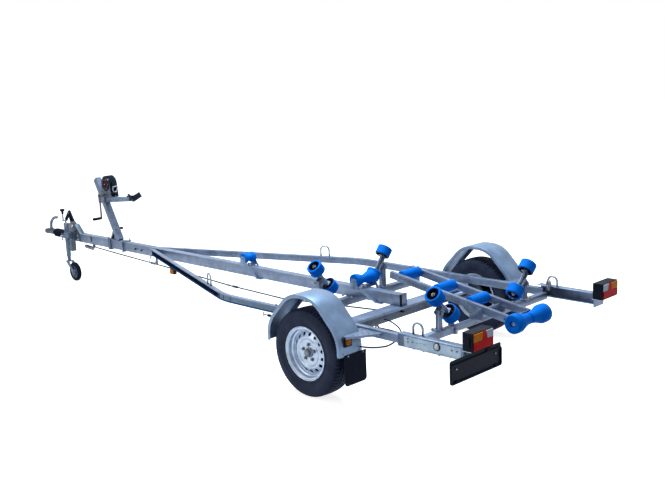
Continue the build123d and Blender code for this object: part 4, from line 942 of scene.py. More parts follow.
def plate_holder():
    """The blank plate holder: a smooth black tray with round corners, a rim, clips and screws."""
    piece = Piece("plate_holder_moulded", BLACK, RUBBER, BRIGHT)
    inner, outer, lowest, highest, corner = 582, 1100, 380, 531, 16
    shape = fillet_path([(841, lowest), (outer, lowest), (outer, highest), (inner, highest),
                         (inner, lowest), (841, lowest)], corner, 6)[:-1]
    place = basis(at(-1290, 0, 0), Y_AXIS, Z_AXIS)
    piece.prism(metres(shape), place, 0.004)
    tray = fillet_path([(841, lowest + 9), (outer - 9, lowest + 9), (outer - 9, 496), (inner + 9, 496),
                        (inner + 9, lowest + 9), (841, lowest + 9)], 10, 6)[:-1]
    rim = fillet_path([(841, lowest), (outer, lowest), (outer, 505), (inner, 505), (inner, lowest),
                       (841, lowest)], corner, 6)[:-1]
    rings = [[at(x, spot.x, spot.y) for spot in row] for x, row in ((-1290, rim), (-1299, rim),
                                                                    (-1300, tray), (-1292, tray))]
    piece.faces(rings)
    for y in (inner + 60, outer - 60):
        piece.box(at(-1300, y - 14, lowest + 1), at(-1291, y + 14, lowest + 18), slot=1)
        piece.bolt(at(-1291, y, 470), -X_AXIS, 0.008, 0.004, slot=2)
    piece.box(at(-1291, 700, 500), at(-1297, 740, 524), slot=1)
    piece.box(at(-1286, 740, 519), at(LAMP_FACE, 800, 531))
    piece.done("chassis", replaces=("plate_holder",), bevel=0.0015)


# ---- light arms ----------------------------------------------------------------------
ARM_OUTER_FACE = 850.0


def arm_fittings():
    """The bright slotted sheet, round bolt and small screws on each light arm."""
    for name, side in SIDES:
        piece = Piece(f"light_arm_{name}_fittings", ARM_SHEET, BLACK, DULL, BRIGHT)
        face = ARM_OUTER_FACE
        piece.box(at(-1180, side * face, 458), at(-716, side * (face + 1.2), 529))
        piece.box(at(-1180, side * (face + 1), 458), at(-716, side * (face + 7), 460.5))
        for x in (-800, -880, -1010):
            piece.rod(at(x, side * (face + 2), 452), at(x, side * (face + 2), 458), 0.006, 6, slot=1)
        for x, z in ((-826, 500), (-858, 503), (-890, 500)):
            piece.box(at(x - 9, side * (face + 1), z - 2.5), at(x + 9, side * (face + 1.6), z + 2.5),
                      slot=2)
            for end in (-9, 9):
                piece.rod(at(x + end, side * (face + 1), z), at(x + end, side * (face + 1.6), z), 0.0025,
                          12, slot=2)
        for x, z in ((-750, 515), (-750, 495), (-790, 500), (-1110, 505), (-1150, 505)):
            piece.bolt(at(x, side * (face + 1), z), Y_AXIS * side, 0.008, 0.004, slot=2)
        bolt_centre = at(-991, side * (face + 1), 505)
        piece.lathe([(0, 0.004), (0.026, 0.004), (0.028, 0.002), (0.028, 0)], bolt_centre, Y_AXIS * side,
                    40, slot=1, closed=False)
        piece.lathe([(0, 0.012), (0.010, 0.0118), (0.017, 0.010), (0.021, 0.006), (0.022, 0.003)],
                    bolt_centre, Y_AXIS * side, 40, slot=3, closed=False)
        for x in (-1120, -1000, -880):
            piece.bolt(at(x, side * 822, 453), -Z_AXIS, 0.012, 0.006, slot=1)
        piece.done("chassis", bevel=0.0005)


# ---- rail films, bolts and clamps ----------------------------------------------------
RAIL_PATH = ((3285, 53), (1220, 800), (-700, 800))
RAIL_BEND = 600.0


def rail_films():
    """Coloured film on the outer faces of the side rails: a navy band, blue line, silver panels."""
    route = fillet_path(RAIL_PATH, RAIL_BEND, 16)
    # slot, start and end along x, lower and upper height
    bands = ((0, 3230, 1320, 473, 509), (1, 3240, 400, 459.5, 471), (2, 1262, 1212, 474, 507),
             (2, 1196, 1120, 474, 507), (0, 1316, 1300, 473, 509), (0, 1290, 1270, 473, 509),
             (0, 1204, 1200, 474, 507), (2, 1104, 560, 474, 507), (0, 1112, 1108, 474, 507),)
    for name, side in SIDES:
        piece = Piece(f"side_rail_{name}_film", STRIPE_NAVY, STRIPE_BLUE, STRIPE_WHITE)
        for slot, start, end, lowest, highest in bands:
            line = between(dense(route), start, end)
            inner = shifted(line, -20.3)
            outer = shifted(line, -21.2)
            rings = []
            for near, far in zip(inner, outer):
                rings.append([at(near.x, side * near.y, lowest), at(far.x, side * far.y, lowest),
                              at(far.x, side * far.y, highest), at(near.x, side * near.y, highest)])
            piece.faces(rings, slot=slot, caps=True)
        piece.done("chassis")


def between(route, start, end):
    """The part of a path that runs back from one x to another."""
    out = []
    for here, after in zip(route, route[1:]):
        for x in (start, end):
            if after.x < x < here.x:
                out.append(here.lerp(after, (here.x - x) / (here.x - after.x)))
        if end < after.x < start:
            out.append(after)
    return sorted(out, key=lambda spot: -spot.x)


def dense(route):
    """The same path with points every 20 mm or less."""
    out = []
    for start, end in zip(route, route[1:]):
        count = max(1, int((end - start).length / 20))
        out += [start.lerp(end, step / count) for step in range(count)]
    return out + [route[-1]]


def frame_fasteners():
    """Bolts, washers, end plates and clamp nuts on the frame."""
    piece = Piece("frame_fasteners", BRIGHT, DULL, BLACK)
    for _, side in SIDES:
        for x in (545, 591):
            piece.bolt(at(x, side * 800, 517), Z_AXIS, 0.017, 0.010)
            piece.bolt(at(x, side * 800, 372), -Z_AXIS, 0.017, 0.010)
        for x in (520, 616):
            piece.bolt(at(x, side * 60, 432), Z_AXIS, 0.014, 0.009)
        for y in (355, 371):
            piece.bolt(at(-735, side * y, 498), Z_AXIS, 0.013, 0.008)
            piece.bolt(at(-768, side * y, 465), -X_AXIS, 0.013, 0.008)
        for x in (15, 105):
            for y in (772, 828):
                piece.bolt(at(x, side * y, 336), -Z_AXIS, 0.015, 0.009, slot=1)
        for x in (380, -340):
            piece.bolt(at(x, side * 845, 497), Z_AXIS, 0.013, 0.008)
        for x in (3609, 3499):
            piece.bolt(at(x, side * 40, 476), Y_AXIS * side, 0.013, 0.008, slot=2)
    piece.box(at(4452, -10, 518.5), at(4462, 44, 522), slot=2)
    piece.box(at(4452, 40, 462), at(4462, 44, 522), slot=2)
    piece.box(at(22, 16, 396), at(31, 41, 521), slot=2)
    piece.box(at(-6, 20, 388), at(31, 38, 398), slot=2)
    piece.done("chassis")


def small_hardware():
    """Wire loop, cables, right ring eye, brake spring, rod nuts and the pin by the left mudguard."""
    piece = Piece("small_hardware", BRIGHT, BLACK, DULL)
    loop = [at(3320, 30, 456), at(3310, 70, 428), at(3290, 92, 384), at(3246, 94, 372), at(3206, 80, 392),
            at(3200, 50, 440)]
    piece.tube(smooth_path(loop, 0.02, 5), 0.0055, 12, slot=2)
    for run in ([at(-40, 290, 400), at(-157, 354, 419), at(-302, 431, 418), at(-391, 505, 414),
                 at(-470, 600, 432), at(-540, 782, 470)], [at(-300, 900, 402), at(-385, 900, 402),
                                                           at(-450, 850, 396), at(-505, 780, 400),
                                                           at(-530, 730, 424), at(-560, 760, 462)]):
        piece.tube(smooth_path(run, 0.05, 6), 0.0055, 10, slot=1)
    eye = at(-775, -776, 560)
    piece.lathe([(0.022 + 0.011 * math.cos(math.radians(a)), 0.011 * math.sin(math.radians(a)))
                 for a in range(0, 360, 30)], eye, (0.55, 0.83, 0), 40, slot=2)
    piece.rod(at(-775, -776, 510), at(-775, -776, 540), 0.012, 20, slot=2)
    piece.rod(at(634, 846, 444), at(690, 846, 444), 0.006, 14)
    piece.rod(at(612, 846, 444), at(636, 846, 444), 0.011, 18, slot=1)
    piece.rod(at(690, 846, 430), at(690, 846, 462), 0.005, 12)
    piece.rod(at(4649, 0, 384), at(4500, 0, 373), 0.018, 24, slot=2)
    for turn in range(12):
        share = turn / 11
        centre = at(4640 - 130 * share, 0, 384 - 10 * share)
        piece.lathe([(0.018, -0.003), (0.0205, 0), (0.018, 0.003)], centre, X_AXIS, 24, slot=2,
                    closed=False)
    for x, z in ((2080, 287), (2150, 290)):
        piece.rod(at(x, 0, z), at(x + 36, 0, z + 1.4), 0.009, 18, slot=2)
    piece.done("chassis")


# ---- winch post and winch ------------------------------------------------------------
WINCH_SLOPE = math.radians(4.2)
WINCH_FORWARD = Vector((math.cos(WINCH_SLOPE), 0, -math.sin(WINCH_SLOPE)))
WINCH_UP = Vector((math.sin(WINCH_SLOPE), 0, math.cos(WINCH_SLOPE)))
DRUM_UP = 0.138


def winch_matrix(y):
    """A matrix on the winch's seat whose X runs forward and Y up, at a distance to the left."""
    drum, _ = pin("winch_drum_spin")
    origin = drum - WINCH_UP * DRUM_UP + Vector((0, y, 0))
    return basis(origin, WINCH_FORWARD, WINCH_UP)


def winch_cheeks():
    """The winch's pressed side plates, foot, ratchet and gear cover."""
    piece = Piece("winch_frame_pressed", CAST, BLACK, RED_LABEL, BRIGHT)
    outline = [(-0.080, 0.0), (0.085, 0.0), (0.088, 0.060), (0.083, 0.110)]
    outline += arc((0.0, DRUM_UP), 0.076, 12, 168, 16) + [(-0.078, 0.110)]
    for y in (-0.0430, 0.0470):
        piece.prism(outline, winch_matrix(y), 0.004)
    foot = winch_matrix(0.0)
    piece.box((-0.080, 0.0, -0.047), (0.085, 0.004, 0.047), turn=foot)
    for x in (-0.055, 0.060):
        for z in (-0.024, 0.024):
            spot = foot @ Vector((x, 0.004, z))
            piece.bolt(spot, WINCH_UP, 0.013, 0.008, slot=3)
    drum, _ = pin("winch_drum_spin")
    left = drum + Vector((0, 0.0475, 0))
    piece.lathe([(0.0, 0.007), (0.012, 0.007), (0.012, 0.003), (0.030, 0.003), (0.030, 0.006),
                 (0.056, 0.006), (0.070, 0.0035), (0.074, 0.0)], left, Y_AXIS, 64, slot=1, closed=False)
    piece.lathe([(0.038, 0.0062), (0.038, 0.0072), (0.050, 0.0072), (0.050, 0.0062)], left, Y_AXIS, 56,
                slot=2)
    piece.rod(left + Vector((0, 0.006, 0)), left + Vector((0, 0.012, 0)), 0.008, 6, slot=3)
    for angle in range(0, 360, 60):
        way = WINCH_FORWARD * math.cos(math.radians(angle)) + WINCH_UP * math.sin(math.radians(angle))
        piece.rod(left + way * 0.062 + Vector((0, 0.003, 0)), left + way * 0.062 + Vector((0, 0.0075, 0)),
                  0.004, 12, slot=3)
    crank, _ = pin("winch_crank_spin")
    right = crank - Vector((0, 0.047, 0))
    piece.lathe([(0.012, 0), (0.030, 0), (0.030, 0.008), (0.012, 0.008)], right, -Y_AXIS, 24, slot=3)
    for cross in ((-0.060, 0.186), (0.050, 0.190)):
        ends = [winch_matrix(y) @ Vector((cross[0], cross[1], 0)) for y in (-0.047, 0.047)]
        piece.rod(ends[0], ends[1], 0.006, 16, slot=3)
        piece.bolt(ends[1], Y_AXIS, 0.011, 0.006, slot=3)
    piece.done("chassis", replaces=("winch_frame",), bevel=0.0006)


def winch_coil():
    """Layers of wide strap on the drum, its tail, and the silver hook behind."""
    drum, axis = pin("winch_drum_spin")
    piece = Piece("winch_strap", STRAP, BRIGHT)
    half = 0.0395
    profile = [(0.010, -half)]
    layers = 24
    for layer in range(layers):
        radius = 0.026 + (0.0878 - 0.026) * layer / (layers - 1)
        dip = 0.0012 if layer % 2 else 0.0
        profile.append((radius, -half + dip))
    for layer in range(9):
        profile.append((0.0878 - (0.0008 if layer % 2 else 0.0), -half + 2 * half * (layer + 1) / 10))
    for layer in range(layers):
        radius = 0.0878 - (0.0878 - 0.026) * layer / (layers - 1)
        dip = 0.0012 if layer % 2 else 0.0
        profile.append((radius, half - dip))
    profile.append((0.010, half))
    piece.lathe(profile, drum, axis, 96)
    piece.rod(drum - Vector((0, 0.054, 0)), drum + Vector((0, 0.054, 0)), 0.009, 24, slot=1)
    tail_angle = math.radians(158)
    start = Vector((math.cos(tail_angle), 0, math.sin(tail_angle))) * 0.0885
    tail = [start, Vector((-0.1015, 0, 0.005)), Vector((-0.1050, 0, -0.020))]
    rings = []
    for place in tail:
        rings.append([drum + place + Vector((dx, y, 0)) for dx, y in
                      ((0, -0.025), (0, 0.025), (-0.003, 0.025), (-0.003, -0.025))])
    piece.faces(rings, caps=True)
    bar = [drum + Vector((-0.106, y, -0.022)) for y in (-0.028, 0.028)]
    piece.rod(bar[0], bar[1], 0.0065, 16, slot=1)
    hook = [(-0.028, 0.0), (-0.026, -0.024), (-0.014, -0.050), (0.006, -0.058), (0.026, -0.044),
            (0.028, -0.020), (0.020, -0.008)]
    path = [drum + Vector((-0.106, y, -0.022 + z)) for y, z in hook]
    piece.tube(smooth_path(path, 0.014, 5), 0.0060, 12, slot=1)
    piece.done("winch_drum", replaces=("winch_drum",), smooth=30)


def winch_handle():
    """The crank's flat arm, shaft and black grip."""
    centre, _ = pin("winch_crank_spin")
    piece = Piece("winch_crank_dressed", ROD_STEEL, BLACK)
    y = 0.096
    piece.rod(centre - Vector((0, 0.055, 0)), centre + Vector((0, 0.104, 0)), 0.009, 24)
    piece.bolt(centre + Vector((0, 0.103, 0)), Y_AXIS, 0.016, 0.008)
    drop = centre.z - 0.760
    piece.box(centre + Vector((-0.013, y - 0.004, -drop - 0.010)),
              centre + Vector((0.011, y + 0.004, 0.016)))
    end = Vector((centre.x - 0.002, y, 0.760))
    piece.rod(end - Vector((0, 0.006, 0)), end + Vector((0, 0.010, 0)), 0.007, 20)
    grip = [(0.0, 0.004), (0.011, 0.004), (0.014, 0.010), (0.014, 0.030), (0.0155, 0.034), (0.0155, 0.040),
            (0.0145, 0.046), (0.0150, 0.090), (0.013, 0.100), (0.006, 0.104), (0.0, 0.104)]
    piece.lathe(grip, end, Y_AXIS, 32, slot=1, closed=False)
    piece.done("winch_crank", replaces=("winch_crank",), bevel=0.0008)


def post_fittings():
    """The post's gusset, locking pin, cap, clamp plates and nuts on the beam."""
    piece = Piece("winch_post_fittings", STEEL, DULL, BLACK, BRIGHT)
    for x in (3835, 4075, 4097):
        for y in (-48, 48):
            piece.bolt(at(x, y, 528), Z_AXIS, 0.013, 0.012, slot=3)
            piece.rod(at(x, y, 540), at(x, y, 552), 0.005, 12, slot=2)
        piece.box(at(x - 12, -54, 420), at(x + 12, 54, 424), slot=1)
    for x in (3835, 4086):
        piece.box(at(x - 14, -62, 523), at(x + 14, 62, 531), slot=1)
        for side in (-1, 1):
            piece.box(at(x - 13, side * 40.5, 424), at(x + 13, side * 44.5, 523), slot=1)
    bar = [at(4097, -48, 540), at(4097, -48, 424), at(4097, 48, 424), at(4097, 48, 540)]
    piece.tube(smooth_path(bar, 0.008, 5), 0.006, 12, slot=1)
    outline = [(0.035, 0.006), (0.175, 0.006), (0.175, 0.020), (0.110, 0.130), (0.088, 0.130)]
    piece.prism(outline, basis(at(3940, 3, 522), X_AXIS, Z_AXIS), 0.006)
    lean = (4290 - 3940) / (1150 - 528)
    spot_z = 652
    spot_x = 3940 + lean * (spot_z - 528)
    piece.rod(at(spot_x - 130, 18, spot_z + 14), at(spot_x + 6, 22, spot_z), 0.008, 16, slot=1)
    piece.rod(at(spot_x - 152, 17.4, spot_z + 16), at(spot_x - 122, 18.2, spot_z + 13.2), 0.013, 20, slot=2)
    piece.tube(smooth_path([at(spot_x - 36, 22, spot_z + 4), at(spot_x - 60, 24, spot_z - 22),
                            at(spot_x - 10, 28, spot_z - 30), at(spot_x - 6, 28, spot_z - 2)], 0.012, 5),
               0.004, 10, slot=1)
    for z in (930, 975):
        x = 3940 + lean * (z - 528)
        for side in (-1, 1):
            piece.bolt(at(x, side * 30, z), Y_AXIS * side, 0.014, 0.008, slot=3)
    for side in (-1, 1):
        piece.box(at(4130, side * 30, 905), at(4250, side * 33, 1000))
        piece.bolt(at(3720, side * 25, 985), Y_AXIS * side, 0.014, 0.008, slot=3)
        piece.bolt(at(3800, side * 25, 975), Y_AXIS * side, 0.014, 0.008, slot=3)
    piece.done("chassis", bevel=0.001)


# ---- coupling, housing and parking brake ---------------------------------------------
SHAFT_Z = 478.0
NOSE = 5490.0


def housing_fittings():
    """Flange bolts, ribs, a grease nipple and a pivot on the overrun housing."""
    piece = Piece("overrun_housing_fittings", CAST, BRIGHT, DULL, BLACK)
    for side in (1, -1):
        for x, z in ((4720, 500), (4720, 456), (4800, 500), (4960, 500), (4960, 456)):
            piece.bolt(at(x, side * 45, z), Y_AXIS * side, 0.016, 0.010, slot=1)
        for x in (4760, 4850, 4930):
            piece.box(at(x, side * 45, 440), at(x + 7, side * 49, 516))
        piece.box(at(4700, side * 45, 512), at(4982, side * 50, 519))
        pivot = at(4854, side * 30, 590)
        piece.lathe([(0, 0.010), (0.014, 0.010), (0.018, 0.006), (0.020, 0.0), (0, 0)], pivot,
                    Y_AXIS * side, 32, slot=1, closed=False)
    for side in (1, -1):
        spot = at(4800, side * 30, 560)
        piece.lathe([(0, 0.008), (0.018, 0.008), (0.026, 0.003), (0.028, 0)], spot, Y_AXIS * side, 32,
                    closed=False)
    for x in (4760, 4905):
        piece.rod(at(x, 0, 614), at(x, 0, 626), 0.006, 6, slot=1)
    piece.lathe([(0.044, 0), (0.048, 0.004), (0.048, 0.020), (0.044, 0.026)], at(4964, 0, SHAFT_Z), X_AXIS,
                48, closed=False)
    piece.done("chassis", bevel=0.001)


def coupling_fittings():
    """The coupling's pressed bonnet, nose, indicator, bolts and bright handle."""
    piece = Piece("coupling_head_pressed", CAST, DULL, DULL, BLACK)
    # x back from the nose, half width, lower and upper height from the shaft's middle
    stations = ((-214, 28, -24, 26), (-190, 31, -26, 32), (-150, 33, -26, 36), (-110, 36, -26, 36),
                (-80, 44, -26, 36), (-50, 46, -26, 34), (-30, 42, -26, 30), (-14, 33, -24, 22),
                (-5, 20, -20, 12), (0, 12, -14, 4))
    rings = []
    for back, half, lower, upper in stations:
        middle, tall = (lower + upper) / 2, (upper - lower) / 2
        ring = []
        for step in range(28):
            angle = 2 * math.pi * step / 28
            y = math.copysign(abs(math.cos(angle)) ** 0.55, math.cos(angle)) * half
            z = math.copysign(abs(math.sin(angle)) ** 0.55, math.sin(angle)) * tall
            ring.append(at(NOSE + back, y, SHAFT_Z + middle + z))
        rings.append(ring)
    piece.faces(rings, caps=True)
    piece.rod(at(4830, 0, SHAFT_Z), at(NOSE - 205, 0, SHAFT_Z), 0.025, 40)
    piece.lathe([(0.018, 0), (0.025, 0), (0.0275, 0.003), (0.0275, 0.010), (0.018, 0.010)],
                at(NOSE - 46, 0, SHAFT_Z - 27), Z_AXIS, 40, slot=3)
    for x in (-190, -150):
        for side in (1, -1):
            piece.bolt(at(NOSE + x, side * 31, SHAFT_Z), Y_AXIS * side, 0.016, 0.009, slot=1)
    handle = [at(NOSE - 108, 0, SHAFT_Z + 26), at(NOSE - 112, 0, SHAFT_Z + 96),
              at(NOSE - 150, 0, SHAFT_Z + 142), at(NOSE - 205, 0, SHAFT_Z + 170),
              at(NOSE - 256, 0, SHAFT_Z + 178)]
    line = smooth_path(handle, 0.035, 8)
    piece.tube(line, 0.0165, 20, slot=1)
    piece.lathe([(0.0, 0.009), (0.012, 0.007), (0.0185, 0.0), (0.0165, -0.006)], line[-1],
                line[-1] - line[-2], 24, slot=1, closed=False)
    piece.rod(at(NOSE - 108, -20, SHAFT_Z + 36), at(NOSE - 108, 20, SHAFT_Z + 36), 0.010, 24, slot=2)
    piece.done("coupling", replaces=("coupling_head",))


def handbrake():
    """The parking brake's lever, its gas strut, button and guard."""
    piece = Piece("handbrake_dressed", BLACK, DULL, BRIGHT)
    foot, apex, end = (4854, 630), (4940, 748), (5028, 642)
    for side in (1, -1):
        piece.prism([(a / 1000, b / 1000) for a, b in ((foot[0] - 16, 618), (foot[0] + 16, 614),
                                                       (apex[0] + 12, apex[1] - 12),
                                                       (apex[0] - 2, apex[1] + 8),
                                                       (apex[0] - 14, apex[1] + 2))],
                    basis(at(0, 11 if side > 0 else -6, 0), X_AXIS, Z_AXIS), 0.005)
    piece.box(at(4830, -12, 616), at(4878, 12, 640), slot=1)
    grip_start, grip_end = at(apex[0] - 6, 0, apex[1]), at(*[end[0], 0, end[1]])
    way = (grip_end - grip_start).normalized()
    length = (grip_end - grip_start).length
    profile = [(0.0, -0.010), (0.014, -0.006), (0.0185, 0.004)]
    for rib in range(7):
        share = 0.020 + (length - 0.040) * rib / 6
        profile += [(0.0185, share - 0.004), (0.0165, share - 0.001), (0.0165, share + 0.001),
                    (0.0185, share + 0.004)]
    profile += [(0.018, length - 0.006), (0.012, length), (0.0, length + 0.001)]
    piece.lathe(profile, grip_start, way, 28, closed=False)
    piece.rod(grip_end, grip_end + way * 0.010, 0.005, 16, slot=2)
    piece.rod(at(4890, 17, 626), at(4926, 17, 722), 0.009, 18)
    piece.rod(at(4905, 17, 668), at(4932, 17, 738), 0.005, 14, slot=1)
    piece.rod(at(4854, -15, 632), at(4854, 15, 632), 0.007, 20, slot=2)
    piece.done("chassis", replaces=("handbrake_lever",), bevel=0.001)


def bellows():
    """A ribbed rubber bellows with clamp rings."""
    start, end = 4990.4, 5279.6
    profile = [(0.0290, 0.0), (0.0400, 0.0), (0.0410, 0.004), (0.0410, 0.012), (0.0380, 0.016)]
    ribs = 11
    length = (end - start) / 1000
    step = (length - 0.036) / ribs
    for rib in range(ribs):
        along = 0.018 + step * rib
        profile += [(0.0375, along), (0.0425, along + step * 0.22), (0.0470, along + step * 0.42),
                    (0.0478, along + step * 0.50), (0.0470, along + step * 0.58),
                    (0.0425, along + step * 0.78)]
    profile += [(0.0375, length - 0.018), (0.0380, length - 0.014), (0.0380, length), (0.0290, length)]
    piece = Piece("bellows_moulded", RUBBER)
    piece.lathe(profile, at(start, 0, SHAFT_Z), X_AXIS, 56)
    piece.done("chassis", replaces=("bellows",), smooth=50)


# ---- jockey wheel --------------------------------------------------------------------
JOCKEY_X, JOCKEY_Y = 4861.0, 100.0


def jockey_parts():
    """Knob and collars of the jockey tube, the clamp's screw and the dressed wheel."""
    tube = Piece("jockey_tube_dressed", TUBE_STEEL, BLACK, DULL)
    foot, top = 267, 623
    tube.lathe([(0.02006, 0), (0.024, 0), (0.024, 0.004), (0.0255, 0.004), (0.0255, 0.020), (0.024, 0.022),
                (0.024, (top - foot) / 1000), (0.02006, (top - foot) / 1000)], at(JOCKEY_X, JOCKEY_Y, foot),
               Z_AXIS, 40)
    tube.lathe([(0.0, 0.019), (0.018, 0.019), (0.0255, 0.014), (0.0265, 0.004), (0.0265, -0.012),
                (0.0242, -0.014), (0.0242, 0.0), (0.0, 0.0)], at(JOCKEY_X, JOCKEY_Y, top), Z_AXIS, 40,
               slot=2, closed=False)
    tube.rod(at(JOCKEY_X, JOCKEY_Y, 640), at(JOCKEY_X, JOCKEY_Y, 670), 0.008, 24)
    tube.box(at(JOCKEY_X - 12, JOCKEY_Y - 9, 658), at(JOCKEY_X + 62, JOCKEY_Y + 9, 666))
    tube.bolt(at(JOCKEY_X, JOCKEY_Y, 666), Z_AXIS, 0.013, 0.007)
    tube.rod(at(JOCKEY_X + 52, JOCKEY_Y, 664), at(JOCKEY_X + 52, JOCKEY_Y, 752), 0.0075, 20)
    tube.lathe([(0.0, 0.0), (0.011, 0.0), (0.013, 0.014), (0.012, 0.024), (0.020, 0.032), (0.0255, 0.036),
                (0.0260, 0.048), (0.020, 0.056), (0.0, 0.058)], at(JOCKEY_X + 52, JOCKEY_Y, 736), Z_AXIS,
               36, slot=1, closed=False)
    tube.done("jockey_tube", replaces=("jockey_tube",), bevel=0.0006)

    wheel = Piece("jockey_wheel_dressed", RUBBER, TUBE_STEEL, BLACK)
    centre, axis = pin("jockey_wheel_spin")
    half, radius = 0.023, 0.103
    tyre_shape = [(0.068, -half + 0.006), (0.072, -half + 0.001), (0.086, -half), (0.096, -half + 0.005),
                  (0.1015, -half + 0.012), (0.1028, -0.012), (0.1008, -0.009), (0.1008, -0.006),
                  (radius, -0.004), (radius, 0.004), (0.1008, 0.006), (0.1008, 0.009), (0.1028, 0.012),
                  (0.1015, half - 0.012), (0.096, half - 0.005), (0.086, half), (0.072, half - 0.001),
                  (0.068, half - 0.006)]
    wheel.lathe(tyre_shape, centre, axis, 72)
    wheel.lathe([(0.0081, -half - 0.002), (0.026, -half - 0.002), (0.028, -half + 0.006), (0.032, -0.006),
                 (0.056, -0.005), (0.062, -0.012), (0.069, -0.015), (0.069, 0.015), (0.062, 0.012),
                 (0.056, 0.005), (0.032, 0.006), (0.028, half - 0.006), (0.026, half + 0.002),
                 (0.0081, half + 0.002)], centre, axis, 60, slot=1)
    for ray in rays(axis, 6):
        wheel.box((0.027, -0.014, -0.002), (0.063, 0.014, 0.002), slot=1, turn=basis(centre, ray, axis))
    wheel.done("jockey_wheel", replaces=("jockey_wheel",))

    fork = Piece("jockey_fork_fittings", DULL)
    for y in (-1, 1):
        spot = centre + axis * y * 0.034
        fork.bolt(spot, axis * y, 0.013, 0.007)
    fork.done("jockey_fork")

    clamp = Piece("jockey_clamp_fittings", BRIGHT, BLACK, DULL)
    for z in (478, 522):
        clamp.lathe([(0.0242, -0.003), (0.0345, -0.003), (0.0345, 0.003), (0.0242, 0.003)],
                    at(JOCKEY_X, JOCKEY_Y, z), Z_AXIS, 40, slot=2)
    knob = at(JOCKEY_X, JOCKEY_Y + 70, 500)
    clamp.rod(knob - Vector((0, 0.010, 0)), knob + Vector((0, 0.008, 0)), 0.011, 20)
    for end in (-1, 1):
        tip = at(JOCKEY_X, JOCKEY_Y + 60, 500 + end * 40)
        clamp.lathe([(0, -0.008), (0.006, -0.006), (0.0085, 0), (0.006, 0.006), (0, 0.008)], tip, Z_AXIS,
                    20, slot=1, closed=False)
    for z in (482, 518):
        for x in (-20, 20):
            clamp.bolt(at(JOCKEY_X + x, 62, z), Y_AXIS, 0.012, 0.007)
    clamp.done("chassis")


# ---- ladder and rocking pairs --------------------------------------------------------
def ladder_fittings():
    """Nuts on the rung rods, the pivot's heads, bolts on the rear plate and a stop-shaped block of painted
    shade.
    """
    piece = Piece("ladder_fittings", BRIGHT, DULL, RUBBER)
    pivot, _ = pin("ladder_tilt")
    front, _ = pin("ladder_roller_front_spin")
    along = (front - pin("ladder_roller_rear_spin")[0]).normalized()
    up = Vector((-along.z, 0, along.x))
    for place in ("front", "middle", "rear"):
        centre, _ = pin(f"ladder_roller_{place}_spin")
        for side in (1, -1):
            piece.bolt(centre + Vector((0, side * 0.1305, 0)), Y_AXIS * side, 0.014, 0.007)
    for side in (1, -1):
        for back in (0.250, 0.560):
            spot = front - along * back + Vector((0, side * 0.1303, 0)) - up * 0.006
            piece.bolt(spot, Y_AXIS * side, 0.012, 0.007, slot=1)
        end_spot = pivot - along * 0.200 + up * 0.008 + Vector((0, side * 0.1303, 0))
        piece.bolt(end_spot, Y_AXIS * side, 0.012, 0.007, slot=1)
        tip = front + along * 0.088 + Vector((0, side * 0.115, 0)) - up * 0.006
        piece.box((-0.0011, -0.012, -0.022), (0.0006, 0.012, 0.022), slot=2, turn=basis(tip, along, Y_AXIS))
    piece.done("ladder")
    # a black block on a plate, shaped as a rubber stop: painted shade under the ladder's rear cross plate
    shade_block = Piece("ladder_shade_block", RUBBER, DULL)
    shade_block.box(at(-840, -30, 497), at(-790, 30, 520))
    shade_block.box(at(-846, -36, 490), at(-784, 36, 497), slot=1)
    shade_block.done("chassis", bevel=0.003)


def rocker_fittings():
    """Bolts on the rocking brackets and nuts on their roller rods."""
    for place in ("front", "rear"):
        for name, _ in SIDES:
            rocker = f"rocker_{place}_{name}"
            outer, _ = pin(f"roller_{place}_{name}_outer_spin")
            inner, _ = pin(f"roller_{place}_{name}_inner_spin")
            along = (outer - inner).normalized()
            centre = (outer + inner) / 2
            piece = Piece(f"{rocker}_fittings", BRIGHT)
            for sign in (1, -1):
                piece.bolt(centre + along * sign * 0.135, along * sign, 0.017, 0.010)
                piece.rod(centre + along * sign * 0.143, centre + along * sign * 0.147, 0.0075, 16)
                spot = centre + along * sign * 0.030
                piece.rod(spot - along * 0.002, spot + along * 0.002, 0.0135, 24)
            piece.done(rocker)
    posts = Piece("post_fittings", BRIGHT, DULL)
    for place, x, y, foot in (("front", 568, 368, 438), ("rear", -735, 508, 496)):
        for _, side in SIDES:
            for dx in (-34, 34):
                for dy in (-31, 31):
                    posts.bolt(at(x + dx, side * y + dy, foot), Z_AXIS, 0.012, 0.008)
    posts.done("chassis")


def keel_roller_fittings():
    """Nuts on the keel rollers' axles and bolts in their brackets and clamp plates."""
    piece = Piece("keel_roller_fittings", BRIGHT, DULL)
    for node, x in (("front_keel_roller", 1858), ("saddle_roller", 442)):
        centre, _ = pin(f"{node}_spin")
        half = (high(node).y - low(node).y) / 2
        for side in (1, -1):
            piece.bolt(centre + Vector((0, side * (half + 0.006), 0)), Y_AXIS * side, 0.015, 0.008)
        for dx in (-28, 28):
            for y in (-26, 26):
                piece.bolt(at(x + dx, y, 527), Z_AXIS, 0.011, 0.006, slot=1)
    piece.done("chassis")


# ---- stage and light -----------------------------------------------------------------
def seen_rays(tree):
    """One where a ray comes from the camera, a reflection or a glass, else zero."""
    path = tree.nodes.new("ShaderNodeLightPath")
    total = path.outputs["Is Camera Ray"]
    for output in ("Is Glossy Ray", "Is Transmission Ray"):
        add = tree.nodes.new("ShaderNodeMath")
        add.use_clamp = True
        tree.links.new(total, add.inputs[0])
        tree.links.new(path.outputs[output], add.inputs[1])
        total = add.outputs["Value"]
    return total


